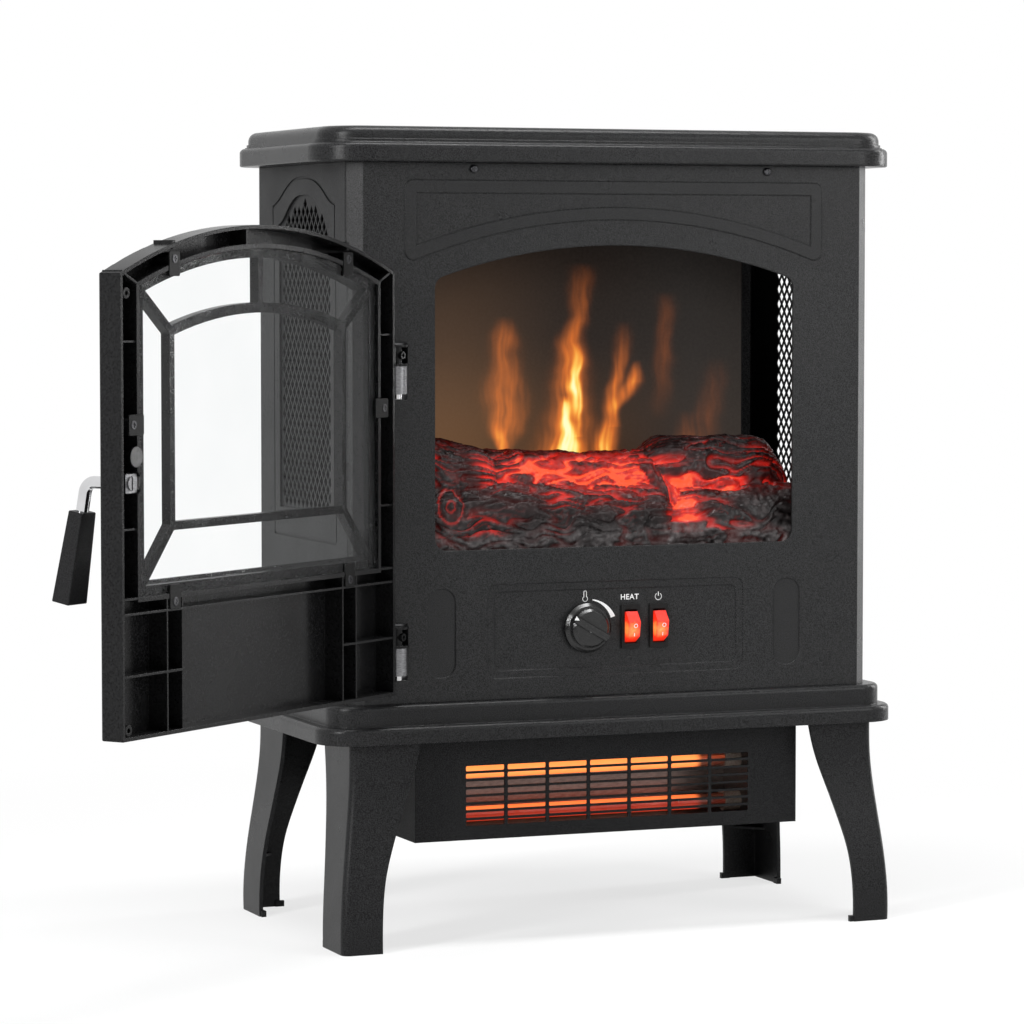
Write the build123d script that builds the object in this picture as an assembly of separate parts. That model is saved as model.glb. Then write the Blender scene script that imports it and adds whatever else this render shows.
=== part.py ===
from build123d import *
from math import cos, radians, sin, sqrt, tan
import os

# Electric stove heater, free-standing on four legs, door standing open.
# Millimetres, +Z up, front towards -Y. The parts are drawn round the centre of the
# cabinet and moved together at the end, so that the origin is the middle of the
# floor rectangle that the whole heater covers with its door open.
ORIGIN_SHIFT = (120.8, 98.57, 0.0)

# cabinet
BODY_HALF_WIDTH = 206.0
BODY_HALF_DEPTH = 101.3
BODY_BOTTOM = 176.5
BODY_TOP = 563.1
CORNER_CUT = 10.0
SHEET = 2.0
SIDE_SHEET = 1.6

# all the arches of the front share one centre on the middle line
ARCH_CENTRE = 83.1
FIRE_HALF_WIDTH = 141.8
FIRE_BOTTOM = 285.5
FIRE_CROWN = 504.3
BAND_HALF_WIDTH = 164.5
BAND_TOP = 550.5
BAND_CROWN = 522.8

# top and base
RIM_HALF = (228.0, 112.8)
RIM_CORNER = 38.0
BASE_HALF = (227.6, 113.2)
BASE_CORNER = 28.0
TOP_Z = 588.5
BASE_BOTTOM = 149.0
LEG_TOP = 174.0
LEG_WALL = 3.0

# heater box
BOX_HALF_WIDTH = 152.4
BOX_FRONT = -87.5
BOX_BACK = 62.0
BOX_BOTTOM = 73.8
SLOT_SIZE = (30.2, 3.9)
SLOT_PITCH = (32.6, 5.67)
SLOT_TOP_ROW = 125.8
TUBE_RADIUS = 5.5
TUBE_Y = -52.0
TUBE_Z = (119.5, 87.6)

# controls
KNOB_XZ = (-23.5, 226.6)
KNOB_TURN = -60.0
SWITCH_XZ = ((11.0, 226.5), (33.6, 226.5))
ROCKER_TILT = 10.0

# door, drawn in its own flat frame: u from the middle of the door, w from the back
# face towards the outer face, z from the floor
DOOR_HALF = 163.15
DOOR_THICK = 17.9
DOOR_BOTTOM = 184.6
DOOR_CROWN = 516.8
DOOR_WALL = 2.6
DOOR_OPEN = 142.6
DOOR_GAP = 0.8
HINGE_X = -172.5
HINGE_AHEAD = 4.8
KNUCKLE_R = 8.3
PIN_R = 2.0
HINGE_Z = (418.7, 218.0)
WINDOW_HALF = 134.3
WINDOW_BOTTOM = 285.0
WINDOW_CROWN = 495.0
GLASS_HALF = 141.6
BAR_WIDTH = 5.6
BAR_DEPTH = (4.2, 11.0)
HANDLE_U = 150.0
HANDLE_Z = 350.0
HANDLE_LEAN = 10.5

os.makedirs("parts", exist_ok=True)


def block(x, y, z):
    """Box between pairs of coordinates."""
    size = Box(x[1] - x[0], y[1] - y[0], z[1] - z[0])
    return Pos((x[0] + x[1]) / 2, (y[0] + y[1]) / 2, (z[0] + z[1]) / 2) * size


def rod(start, end, radius):
    """Cylinder from one point to another."""
    a, b = Vector(*start), Vector(*end)
    along = b - a
    flat = Cylinder(radius, along.length, align=(Align.CENTER, Align.CENTER, Align.MIN))
    return Plane(origin=a, z_dir=along) * flat


def front_plane(y):
    """Sketch plane facing the viewer: X to the right, Z up."""
    return Plane(origin=(0, y, 0), x_dir=(1, 0, 0), z_dir=(0, -1, 0))


def side_plane(x):
    """Sketch plane with Y to the right and Z up."""
    return Plane(origin=(x, 0, 0), x_dir=(0, 1, 0), z_dir=(1, 0, 0))


def arch_z(radius, x):
    return ARCH_CENTRE + sqrt(radius * radius - x * x)


def arched_face(half, bottom, crown, corner=0.0):
    """Rectangle with an arched top, as a face in X and Z drawn on the XY plane."""
    radius = crown - ARCH_CENTRE
    shoulder = arch_z(radius, half)
    outline = Polyline((-half, shoulder), (-half, bottom), (half, bottom), (half, shoulder))
    face = make_face(outline + ThreePointArc((half, shoulder), (0, crown), (-half, shoulder)))
    return fillet(face.vertices(), corner) if corner else face


def from_front(face, y_front, depth):
    """Solid of a front-view face, from y_front back by depth."""
    return extrude(front_plane(y_front) * face, amount=-depth)


def screw(head_at, towards, head_r=3.2, head_h=2.2, shank_r=1.7, length=8.0):
    """Round-headed cross-recess screw: the head's seat is at head_at, the shank points on."""
    head = Cylinder(head_r, head_h, align=(Align.CENTER, Align.CENTER, Align.MAX))
    head = fillet(head.edges().sort_by(Axis.Z)[0], head_h * 0.6)
    cross = Box(head_r * 1.15, 0.7, 1.1) + Box(0.7, head_r * 1.15, 1.1)
    head -= Pos(0, 0, -head_h) * cross
    shank = Cylinder(shank_r, length, align=(Align.CENTER, Align.CENTER, Align.MIN))
    return Plane(origin=head_at, z_dir=towards) * (head + shank)


# Cabinet sheets.

def wrap_profile(inset):
    """Plan outline of the front sheet's face, moved inwards by inset."""
    half, front = BODY_HALF_WIDTH, -BODY_HALF_DEPTH + inset
    back = -BODY_HALF_DEPTH + CORNER_CUT
    run = back - front
    bend = half - inset * sqrt(2) - run
    return [(-bend - run, back), (-bend, front), (bend, front), (bend + run, back)]


def embossed_band():
    """Raised frame above the fire opening, arched below, as a front-view face."""
    low = arch_z(BAND_CROWN - ARCH_CENTRE, BAND_HALF_WIDTH)
    outer = Polyline((-BAND_HALF_WIDTH, low), (-BAND_HALF_WIDTH, BAND_TOP),
                     (BAND_HALF_WIDTH, BAND_TOP), (BAND_HALF_WIDTH, low))
    outer = make_face(outer + ThreePointArc((BAND_HALF_WIDTH, low), (0, BAND_CROWN),
                                            (-BAND_HALF_WIDTH, low)))
    outer = fillet(outer.vertices(), 6)
    half, top, crown = BAND_HALF_WIDTH - 8.5, BAND_TOP - 9.1, BAND_CROWN + 8.9
    low = arch_z(crown - ARCH_CENTRE, half)
    inner = Polyline((-half, low), (-half, top), (half, top), (half, low))
    inner = make_face(inner + ThreePointArc((half, low), (0, crown), (-half, low)))
    return outer - inner


def front_panel():
    outer, inner = wrap_profile(0.0), wrap_profile(SHEET)
    plan = make_face(Polyline(*outer, *reversed(inner), close=True))
    sheet = Pos(0, 0, BODY_BOTTOM) * extrude(plan, amount=BODY_TOP - BODY_BOTTOM)
    fire = arched_face(FIRE_HALF_WIDTH, FIRE_BOTTOM, FIRE_CROWN, 9)
    sheet -= from_front(fire, -BODY_HALF_DEPTH - 5, 20)
    sheet += from_front(embossed_band(), -BODY_HALF_DEPTH - 0.9, 1.4)
    for side in (-1, 1):
        pad = Pos(side * 137.1, 226.1) * RectangleRounded(22, 64, 10)
        sheet -= from_front(pad, -BODY_HALF_DEPTH - 1, 1.9)
    sheet -= control_recess()
    for z in HINGE_Z:
        sheet -= block((HINGE_X - 9.3, HINGE_X + 9.3), (-110, -80), (z - 24.4, z + 16.2))
    for x in (-112, 120):
        sheet -= rod((x, -110, 558.6), (x, -80, 558.6), 1.75)
    return sheet - hinge_screw_holes()


def control_recess():
    """Two shallow steps down to the plate that carries the knob and switches."""
    step = Pos(0, 226.1) * RectangleRounded(203.4, 68, 7)
    floor = Pos(0, 226.1) * RectangleRounded(192.4, 57, 5)
    cut = from_front(step, -BODY_HALF_DEPTH - 1, 1.6)
    return cut + from_front(floor, -BODY_HALF_DEPTH - 1, 2.2) + control_holes()


def control_holes():
    x, z = KNOB_XZ
    cut = rod((x, -110, z), (x, -80, z), 5.1)
    for x, z in SWITCH_XZ:
        cut += block((x - 6.1, x + 6.1), (-110, -80), (z - 14.2, z + 14.2))
    return cut


def hinge_screw_holes():
    """Blind holes in the back of the front sheet for the screws of the hinge plates."""
    holes = [(HINGE_X + 16, z + dz) for z in HINGE_Z for dz in (-19, 11)]
    return [rod((x, -100.3, z), (x, -90, z), 1.4) for x, z in holes]


def ogee_face(half, bottom, shoulder, crown):
    """Side window outline: straight sides, S-shaped shoulders and a round crown."""
    rise = crown - shoulder
    right = Spline((half, shoulder), (half * 0.66, shoulder + rise * 0.46),
                   (half * 0.42, shoulder + rise * 0.82), (0, crown),
                   tangents=((-1, 0.15), (-1, 0)))
    left = Spline((0, crown), (-half * 0.42, shoulder + rise * 0.82),
                  (-half * 0.66, shoulder + rise * 0.46), (-half, shoulder),
                  tangents=((-1, 0), (-1, -0.15)))
    base = Polyline((-half, shoulder), (-half, bottom), (half, bottom), (half, shoulder))
    return make_face(base + right + left)


WINDOW_OUTER = (68.7, 290.4, 533.5, 553.8)
WINDOW_INNER = (57.0, 310.4, 520.0, 541.3)


def side_panel(side):
    """Side sheet with a stamped outline, an open ogee window and a flange for the rear sheet."""
    outside = BODY_HALF_WIDTH
    y0, y1 = -BODY_HALF_DEPTH + CORNER_CUT, BODY_HALF_DEPTH
    sheet = block((-outside, -outside + SIDE_SHEET), (y0, y1), (BODY_BOTTOM, BODY_TOP))
    half, low, shoulder, crown = WINDOW_OUTER
    ring = ogee_face(half + 0.9, low - 0.9, shoulder + 0.9, crown + 0.9)
    ring -= ogee_face(half - 0.9, low + 0.9, shoulder - 0.9, crown - 0.9)
    sheet -= extrude(side_plane(-outside - 1) * ring, amount=1.8)
    sheet -= extrude(side_plane(-outside - 1) * ogee_face(*WINDOW_INNER), amount=10)
    inner, behind = -outside + SIDE_SHEET, y1 - SIDE_SHEET
    sheet += block((inner, inner + 24), (behind - 1.2, behind), (BODY_BOTTOM, BODY_TOP))
    for x, z in BACK_SCREWS:
        sheet -= rod((-abs(x), behind - 10, z), (-abs(x), behind + 10, z), 1.75)
    return sheet if side < 0 else mirror(sheet, Plane.YZ)


def side_mesh(side):
    """Expanded-metal sheet behind a side window: staggered diamond openings."""
    across, up, strand = 9.2, 11.5, 1.5
    x = -BODY_HALF_WIDTH + SIDE_SHEET
    half, low, shoulder, crown = WINDOW_INNER
    edge = ogee_face(half + 4, low - 5, shoulder + 4, crown + 5)
    clear = ogee_face(half - 1.5, low + 1.5, shoulder - 1.5, crown - 1.5)
    grow = strand / 2 * sqrt(1 / across ** 2 + 1 / up ** 2) * 2
    a, b = across / 2 * (1 - grow), up / 2 * (1 - grow)
    diamond = make_face(Polyline((-a, 0), (0, -b), (a, 0), (0, b), close=True))
    cells = []
    rows = int((crown - low) / up * 2) + 2
    for row in range(rows):
        z = low + row * up / 2
        start = 0 if row % 2 else across / 2
        for n in range(-8, 9):
            y = n * across + start
            corner_z = window_top(abs(y) + a) - b
            if abs(y) + a < half - 1.2 and low + b + 1.2 < z < corner_z:
                cells.append(Pos(y, z) * diamond)
    sheet = edge - cells
    solid = extrude(side_plane(x) * sheet, amount=1.0)
    return solid if side < 0 else mirror(solid, Plane.YZ)


def window_top(y):
    """Height of the inner window's outline at a distance y from its middle."""
    half, low, shoulder, crown = WINDOW_INNER
    t = min(1.0, y / half)
    return shoulder - 1.2 + (crown - shoulder) * max(0.0, 1 - t ** 1.6)


def back_panel():
    """Flat rear sheet with rows of air slots and the cord's hole."""
    inside = BODY_HALF_WIDTH - SIDE_SHEET - 0.05
    y = BODY_HALF_DEPTH
    sheet = block((-inside, inside), (y - SIDE_SHEET, y), (BODY_BOTTOM, BODY_TOP))
    for row in range(8):
        for column in (-1, 0, 1):
            slot = Pos(column * 78, 500 - row * 11) * SlotOverall(62, 4.5)
            sheet -= from_front(slot, y - 5, 12)
    for row in range(5):
        slot = Pos(-60, 250 - row * 11) * SlotOverall(90, 4.5)
        sheet -= from_front(slot, y - 5, 12)
    sheet -= rod((120, y - 5, 205), (120, y + 5, 205), 8.1)
    for x, z in BACK_SCREWS:
        sheet -= rod((x, y - 5, z), (x, y + 5, z), 1.75)
    return sheet


BACK_SCREWS = [(x, z) for x in (-190, 190) for z in (200, 315, 430, 545)]


# Top and base.

def rounded_slab(half_x, half_y, corner, z0, z1):
    return Pos(0, 0, z0) * extrude(RectangleRounded(2 * half_x, 2 * half_y, corner), amount=z1 - z0)


def top_cover():
    """Moulded lid: an upright rim, a narrow ledge and an S-curved rise to a flat top."""
    hx, hy = RIM_HALF
    lid = rounded_slab(hx, hy, RIM_CORNER, BODY_TOP, 576.6)
    lid = fillet(lid.edges().group_by(Axis.Z)[-1], 3.6)
    lid = fillet(lid.edges().group_by(Axis.Z)[0], 1.2)
    steps = ((3.9, 576.5, 577.2), (5.2, 577.2, 579.3))
    for inset, z0, z1 in steps:
        lid += rounded_slab(hx - inset, hy - inset, RIM_CORNER - inset, z0 - 0.5, z1)
    plateau = rounded_slab(hx - 6.4, hy - 6.4, RIM_CORNER - 6.4, 579.0, TOP_Z)
    plateau = fillet(plateau.edges().group_by(Axis.Z)[-1], 6.6)
    lid += plateau
    lid -= rounded_slab(hx - 2.5, hy - 2.5, RIM_CORNER - 2.5, BODY_TOP + 2.5, 574.0)
    lid -= rounded_slab(hx - 9.0, hy - 9.0, RIM_CORNER - 9, 573.5, TOP_Z - 2.5)
    lid -= rounded_slab(198, 93, 6, BODY_TOP - 1, BODY_TOP + 5)
    return lid


def base_plate():
    """Moulded base: two stepped, rounded tiers, hollow from below."""
    hx, hy = BASE_HALF
    base = rounded_slab(hx, hy, BASE_CORNER, BASE_BOTTOM, 161.2)
    base = fillet(base.edges().group_by(Axis.Z)[-1], 3.4)
    upper = rounded_slab(hx - 8.2, hy - 6.6, BASE_CORNER - 6, 160.5, BODY_BOTTOM)
    upper = fillet(upper.edges().group_by(Axis.Z)[-1], 3.4)
    base += upper
    base -= rounded_slab(hx - 2.5, hy - 2.5, BASE_CORNER - 2.5, BASE_BOTTOM - 1, 158.7)
    base -= rounded_slab(hx - 11, hy - 9.4, BASE_CORNER - 9, BASE_BOTTOM - 1, LEG_TOP)
    for x, y in leg_screw_points():
        base -= rod((x, y, 160), (x, y, 180), 1.75)
    return base - block((-110, 110), (-20, 50), (170, 180))


# Legs.

def flare(z):
    """How far a leg's outer faces stand out at height z."""
    t = min(1.0, max(0.0, (139.0 - z) / 125.0))
    return 10.6 * t * t * (3 - 2 * t)


FRONT_WIDTH = ((0, 30.0), (30, 30.0), (56, 31.2), (76, 34.6), (100, 40.0), (124, 46.6),
               (150, 52.4), (LEG_TOP, 55.0))
SIDE_WIDTH = ((0, 44.0), (30, 44.0), (56, 45.0), (76, 47.4), (100, 51.0), (124, 55.4),
              (150, 59.6), (LEG_TOP, 62.0))
LEG_CORNER = (207.0, 105.5)


def leg_silhouette(corner, widths, inset):
    """One view of a leg, from its outer face inset to its curved inner edge."""
    heights = [z for z, w in widths]
    outer = [(-(corner + flare(z)) + inset, z) for z in heights]
    inner = [(-(corner + flare(z)) + w, z) for z, w in widths]
    if inset:
        inner = [(x + 60, z) for x, z in inner]
    lines = Spline(*outer) + Line(outer[-1], inner[-1])
    lines += Spline(*reversed(inner)) + Line(inner[0], outer[0])
    return make_face(lines)


def leg_block(inset):
    front = leg_silhouette(LEG_CORNER[0], FRONT_WIDTH, inset)
    side = leg_silhouette(LEG_CORNER[1], SIDE_WIDTH, inset)
    wide = extrude(front_plane(0) * front, amount=200)
    deep = extrude(side_plane(-300) * side, amount=250)
    return wide & deep


def leg_head():
    """Square top of a leg inside the base: two walls and a flange for its two screws."""
    head = rounded_slab(207, 102.9, 12, 150, LEG_TOP)
    head -= rounded_slab(204, 99.9, 9, 149, LEG_TOP - 3)
    return head & block((-215, -155.5), (-110, -47.5), (140, 180))


def leg(x_side, y_side):
    """Moulded leg of L section with a top flange, two gussets and a lipped foot."""
    shape = leg_block(0.0)
    edge = shape.edges().filter_by(lambda e: e.length > 150).sort_by(
        lambda e: e.center().X + e.center().Y)[0]
    shape = fillet(edge, 6.0)
    shape -= leg_block(LEG_WALL)
    shape = shape & block((-240, -100), (-140, 0), (-1, 158.4))
    shape += leg_head()
    cx, cy = -LEG_CORNER[0] + LEG_WALL - 0.5, -LEG_CORNER[1] + LEG_WALL - 0.5
    for z in (40, 95):
        gx, gy = cx - flare(z), cy - flare(z)
        corner = make_face(Polyline((gx, gy), (gx + 20, gy), (gx, gy + 20), close=True))
        shape += Pos(0, 0, z) * extrude(corner, amount=2)
    ox, oy = -LEG_CORNER[0] - flare(0), -LEG_CORNER[1] - flare(0)
    if x_side > 0 or y_side > 0:
        shape += block((ox + 26, ox + 33), (oy + 0.8, oy + 4.4), (0, 4.5))
    shape += block((ox + 0.8, ox + 4.4), (oy + 40, oy + 47), (0, 4.5))
    for x, y in ((-170, -92), (-190, -68)):
        shape -= rod((x, y, 160), (x, y, 180), 1.75)
    if x_side > 0:
        shape = mirror(shape, Plane.YZ)
    return mirror(shape, Plane.XZ) if y_side > 0 else shape


def leg_screw_points():
    return [(sx * x, sy * y) for sx in (-1, 1) for sy in (-1, 1) for x, y in ((170, 92), (190, 68))]


def leg_screws():
    return [screw((x, y, LEG_TOP - 3), (0, 0, 1), length=5.4) for x, y in leg_screw_points()]


# Heater box and what is in it.

def heater_box():
    """Folded tray below the base with the slotted heat outlet in its front."""
    x, t = BOX_HALF_WIDTH, 1.5
    tray = block((-x, x), (BOX_FRONT, BOX_BACK), (BOX_BOTTOM, LEG_TOP))
    tray -= block((-x + t, x - t), (BOX_FRONT + t, BOX_BACK - t), (BOX_BOTTOM + t, LEG_TOP + 1))
    slot = RectangleRounded(*SLOT_SIZE, 1.0)
    slots = []
    for column in range(-3, 4):
        for row in range(8):
            slots.append(Pos(column * SLOT_PITCH[0], SLOT_TOP_ROW - row * SLOT_PITCH[1]) * slot)
    for cut in slots:
        tray -= from_front(cut, BOX_FRONT - 5, 12)
    for column in range(-4, 5):
        intake = Pos(column * 24, 120) * SlotOverall(50, 5, 90)
        tray -= from_front(intake, BOX_BACK - 6, 12)
    return tray


def reflector():
    """Bright curved sheet behind the two tubes, held between the tube plates."""
    profile = Polyline((-70, 150.0), (-34, 144), (-27, 132), (-27, 86), (-34, 79.5), (-70, 77.2))
    line = make_face(offset(profile, 0.5, side=Side.BOTH))
    return extrude(side_plane(-121) * line, amount=242)


def tube_plate(side):
    """Upright plate at one end of the tubes."""
    plate = block((121.2, 122.7), (-76, -20), (BOX_BOTTOM + 1.5, 150))
    plate += block((121.2, 134), (-76, -20), (BOX_BOTTOM + 1.5, BOX_BOTTOM + 3))
    for z in TUBE_Z:
        plate -= rod((115, TUBE_Y, z), (130, TUBE_Y, z), 6.5)
    return plate if side > 0 else mirror(plate, Plane.YZ)


def quartz_tube(z):
    tube = rod((-116, TUBE_Y, z), (116, TUBE_Y, z), TUBE_RADIUS)
    return tube - rod((-120, TUBE_Y, z), (120, TUBE_Y, z), TUBE_RADIUS - 1.2)


def tube_end(side, z):
    """Ceramic end cap: a collar over the tube's end and a neck held in the tube plate."""
    cap = rod((108, TUBE_Y, z), (120.9, TUBE_Y, z), 7.6)
    cap += rod((120.5, TUBE_Y, z), (131, TUBE_Y, z), 6.4)
    cap -= rod((107, TUBE_Y, z), (116, TUBE_Y, z), TUBE_RADIUS + 0.05)
    cap -= rod((110, TUBE_Y, z), (126, TUBE_Y, z), 2.0)
    cap += rod((124, TUBE_Y, z), (137, TUBE_Y, z), 2.0)
    return cap if side > 0 else mirror(cap, Plane.YZ)


def element_coil(z):
    """Resistance wire in a tube: one straight core that its winding lies on."""
    return rod((-110.2, TUBE_Y, z), (110.2, TUBE_Y, z), 2.2)


FAN_Y, FAN_Z, FAN_R = 26.0, 120.0, 22.0


def fan_wheel():
    """Cross-flow wheel: three discs, straight radial blades round the rim, and a shaft."""
    wheel = rod((-96, FAN_Y, FAN_Z), (-93, FAN_Y, FAN_Z), FAN_R)
    wheel += rod((-1, FAN_Y, FAN_Z), (1, FAN_Y, FAN_Z), FAN_R)
    wheel += rod((93, FAN_Y, FAN_Z), (96, FAN_Y, FAN_Z), FAN_R)
    for n in range(20):
        blade = Pos(0, 18.6, 0) * Box(188, 6.2, 1.0)
        wheel += Pos(0, FAN_Y, FAN_Z) * Rot(n * 18, 0, 0) * blade
    wheel += rod((-104.4, FAN_Y, FAN_Z), (-95, FAN_Y, FAN_Z), 3.0)
    return wheel + rod((95, FAN_Y, FAN_Z), (104.4, FAN_Y, FAN_Z), 3.0)


def fan_housing():
    """Scroll sheet round the back and top of the wheel, with end plates and bearings."""
    arc = ThreePointArc((FAN_Y - 24.5, FAN_Z + 8), (FAN_Y + 8, FAN_Z + 25.5), (FAN_Y + 26, FAN_Z))
    tail = Line((FAN_Y - 24.5, FAN_Z + 8), (FAN_Y - 44, FAN_Z + 12))
    shell = extrude(side_plane(-100.2) * make_face(offset(arc + tail, 0.6, side=Side.BOTH)), amount=200.4)
    for side in (-1, 1):
        plate = block((100.2, 102.2), (FAN_Y - 26, FAN_Y + 29), (BOX_BOTTOM + 1.5, FAN_Z + 28))
        plate += rod((102, FAN_Y, FAN_Z), (106, FAN_Y, FAN_Z), 6)
        plate -= rod((99, FAN_Y, FAN_Z), (104.6, FAN_Y, FAN_Z), 3.06)
        shell += plate if side > 0 else mirror(plate, Plane.YZ)
    shell += block((-100.5, 100.5), (FAN_Y - 26, FAN_Y + 29), (BOX_BOTTOM + 1.5, BOX_BOTTOM + 2.7))
    return shell


def fan_motor():
    body = rod((106.1, FAN_Y, FAN_Z), (132, FAN_Y, FAN_Z), 19)
    body = fillet(body.edges().filter_by(GeomType.CIRCLE).sort_by(Axis.X)[-1], 4)
    return body + block((106.1, 112), (FAN_Y - 26, FAN_Y + 26), (FAN_Z - 7, FAN_Z + 7))


def thermal_cutout():
    """Round snap-disc cut-out on the reflector's back."""
    disc = rod((40, -26.4, 110), (40, -18, 110), 8)
    return disc + block((30, 50), (-26.4, -25.2), (103, 117))


# Fire display.

def fire_shelf():
    """Folded shelf across the cabinet for the logs, the flame screen and the lamps."""
    front, side = -BODY_HALF_DEPTH + SHEET, BODY_HALF_WIDTH - SIDE_SHEET
    shelf = block((-side, side), (-88, 82), (279.0, 280.2))
    shelf += block((-166, 166), (front, -87), (279.0, 280.2))
    shelf += block((-166, 166), (front, front + 1.2), (262, 280.2))
    shelf += block((-166, 166), (80.8, 82), (268, 280.2))
    for x0, x1 in ((-side, -side + 1.2), (side - 1.2, side)):
        shelf += block((x0, x1), (-88, 82), (264, 280.2))
    return shelf + screen_post(-1) + screen_post(1)


def log(start, end, r0, r1):
    """One tapered log with rounded ends."""
    a, b = Vector(*start), Vector(*end)
    along = b - a
    cone = Cone(r0, r1, along.length, align=(Align.CENTER, Align.CENTER, Align.MIN))
    body = Plane(origin=a, z_dir=along) * cone
    return body + Pos(*start) * Sphere(r0) + Pos(*end) * Sphere(r1)


def log_set():
    """Moulded logs and embers in one piece, flat below, standing on the shelf."""
    logs = log((-160, -56, 338), (-108, -60, 331), 33, 30)
    logs += log((-96, -52, 325), (74, -52, 326), 31, 27)
    logs += log((58, -54, 336), (124, -50, 337), 27, 26.8)
    logs += log((124, -50, 337), (152, -46, 312), 26.8, 22)
    logs += log((-152, -70, 312), (34, -71, 306), 27, 24)
    logs += log((66, -70, 300), (152, -68, 305), 26, 24)
    logs += log((36, -66, 338), (64, -80, 298), 12, 13)
    keep = block((-156, 156), (-95.5, -8), (280.4, 380))
    bed = block((-150, 150), (-92, -20), (280.4, 296))
    return (logs + bed) & keep


SCREEN_Y = 14.0


def flame_screen():
    """Thin frosted sheet, bowed gently to the rear, that the flame picture falls on."""
    half, sag = 152.0, 9.0
    outer = ThreePointArc((-half, SCREEN_Y - sag), (0, SCREEN_Y), (half, SCREEN_Y - sag))
    inner = ThreePointArc((half, SCREEN_Y - sag + 2), (0, SCREEN_Y + 2), (-half, SCREEN_Y - sag + 2))
    ends = Line((half, SCREEN_Y - sag), (half, SCREEN_Y - sag + 2))
    ends += Line((-half, SCREEN_Y - sag + 2), (-half, SCREEN_Y - sag))
    return Pos(0, 0, 280.4) * extrude(make_face(outer + inner + ends), amount=244)


def screen_post(side):
    """Upright channel on the shelf that holds one edge of the flame screen."""
    y = SCREEN_Y - 9
    post = block((149, 156), (y - 3.4, y + 5.4), (279.5, 530))
    post -= block((140, 153.2), (y - 1.6, y + 3.6), (270, 540))
    return post if side > 0 else mirror(post, Plane.YZ)


SPINDLE_Y, SPINDLE_Z = 58.0, 322.0


def flame_spindle():
    """Turning rod with bright bent flags that throw the moving flame light."""
    spindle = rod((-131, SPINDLE_Y, SPINDLE_Z), (131, SPINDLE_Y, SPINDLE_Z), 2.5)
    for n in range(12):
        x = -110 + n * 20
        flag = Pos(0, 9, 0) * Box(13, 15, 0.8)
        spindle += Pos(x, SPINDLE_Y, SPINDLE_Z) * Rot(n * 75, 0, 0) * flag
    return spindle


def spindle_bearing():
    post = block((-136, -128), (SPINDLE_Y - 8, SPINDLE_Y + 8), (280.2, SPINDLE_Z + 9))
    post += block((-136, -112), (SPINDLE_Y - 8, SPINDLE_Y + 8), (280.2, 281.4))
    return post - rod((-131.3, SPINDLE_Y, SPINDLE_Z), (-120, SPINDLE_Y, SPINDLE_Z), 2.56)


def spindle_motor():
    body = rod((128, SPINDLE_Y, SPINDLE_Z), (146, SPINDLE_Y, SPINDLE_Z), 21)
    body -= rod((120, SPINDLE_Y, SPINDLE_Z), (131.3, SPINDLE_Y, SPINDLE_Z), 2.56)
    foot = block((134, 146), (SPINDLE_Y - 15, SPINDLE_Y + 15), (280.2, SPINDLE_Z))
    return body + foot


def lamp_strip():
    """Circuit strip with a row of small lamps behind the flame screen."""
    strip = block((-120, 120), (24, 36), (280.2, 281.8))
    for n in range(12):
        strip += block((-112.5 + n * 20, -107.5 + n * 20), (27.5, 32.5), (281.5, 283.6))
    return strip


# Controls.

def thermostat():
    """Switch body behind the control plate, with a threaded bushing through it."""
    x, z = KNOB_XZ
    y = -BODY_HALF_DEPTH + SHEET
    body = block((x - 17, x + 17), (y, y + 17), (z - 14, z + 14))
    body += rod((x, y - 3.9, z), (x, y + 1, z), 4.6)
    body += block((x - 12, x - 9), (y + 16, y + 25), (z - 4, z + 4))
    body += block((x + 9, x + 12), (y + 16, y + 25), (z - 4, z + 4))
    return body - rod((x, y - 8, z), (x, y + 10, z), 3.06)


def bushing_nut():
    """Flat hexagonal nut that holds the thermostat to the plate."""
    x, z = KNOB_XZ
    front = -BODY_HALF_DEPTH + 1.2
    nut = Pos(x, z) * RegularPolygon(7.4, 6) - Pos(x, z) * Circle(4.65)
    return from_front(nut, front - 2.0, 2.0)


def thermostat_shaft():
    x, z = KNOB_XZ
    y = -BODY_HALF_DEPTH + SHEET
    shaft = rod((x, y - 12.0, z), (x, y + 9.7, z), 3.0)
    return shaft - block((x - 4, x + 4), (y - 14, y - 5.8), (z + 1.6, z + 5))


def knob():
    """Round control knob: broad skirt, raised cap and a bar that points at the scale."""
    x, z = KNOB_XZ
    back = -BODY_HALF_DEPTH + 0.7
    disc = rod((x, back, z), (x, back - 5.0, z), 18.2)
    disc = chamfer(disc.edges().filter_by(GeomType.CIRCLE).sort_by(Axis.Y)[0], 2.2)
    cap = rod((x, back - 4, z), (x, back - 9.5, z), 14.2)
    cap = chamfer(cap.edges().filter_by(GeomType.CIRCLE).sort_by(Axis.Y)[0], 1.8)
    bar = Pos(0, 0, 1.0) * Box(5.6, 6.2, 29.0)
    bar = chamfer(bar.edges().filter_by(Axis.Z), 1.4)
    turned = Pos(x, back - 10.6, z) * Rot(0, KNOB_TURN, 0) * bar
    shape = disc + cap + (turned & rod((x, back - 4, z), (x, back - 20, z), 16.4))
    hollow = rod((x, back + 1, z), (x, back - 2.9, z), 12.5)
    bore = rod((x, back + 1, z), (x, back - 11.3, z), 3.03)
    bore -= block((x - 4, x + 4), (back - 12, back - 6.3), (z + 1.63, z + 5))
    return shape - hollow - bore


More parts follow.
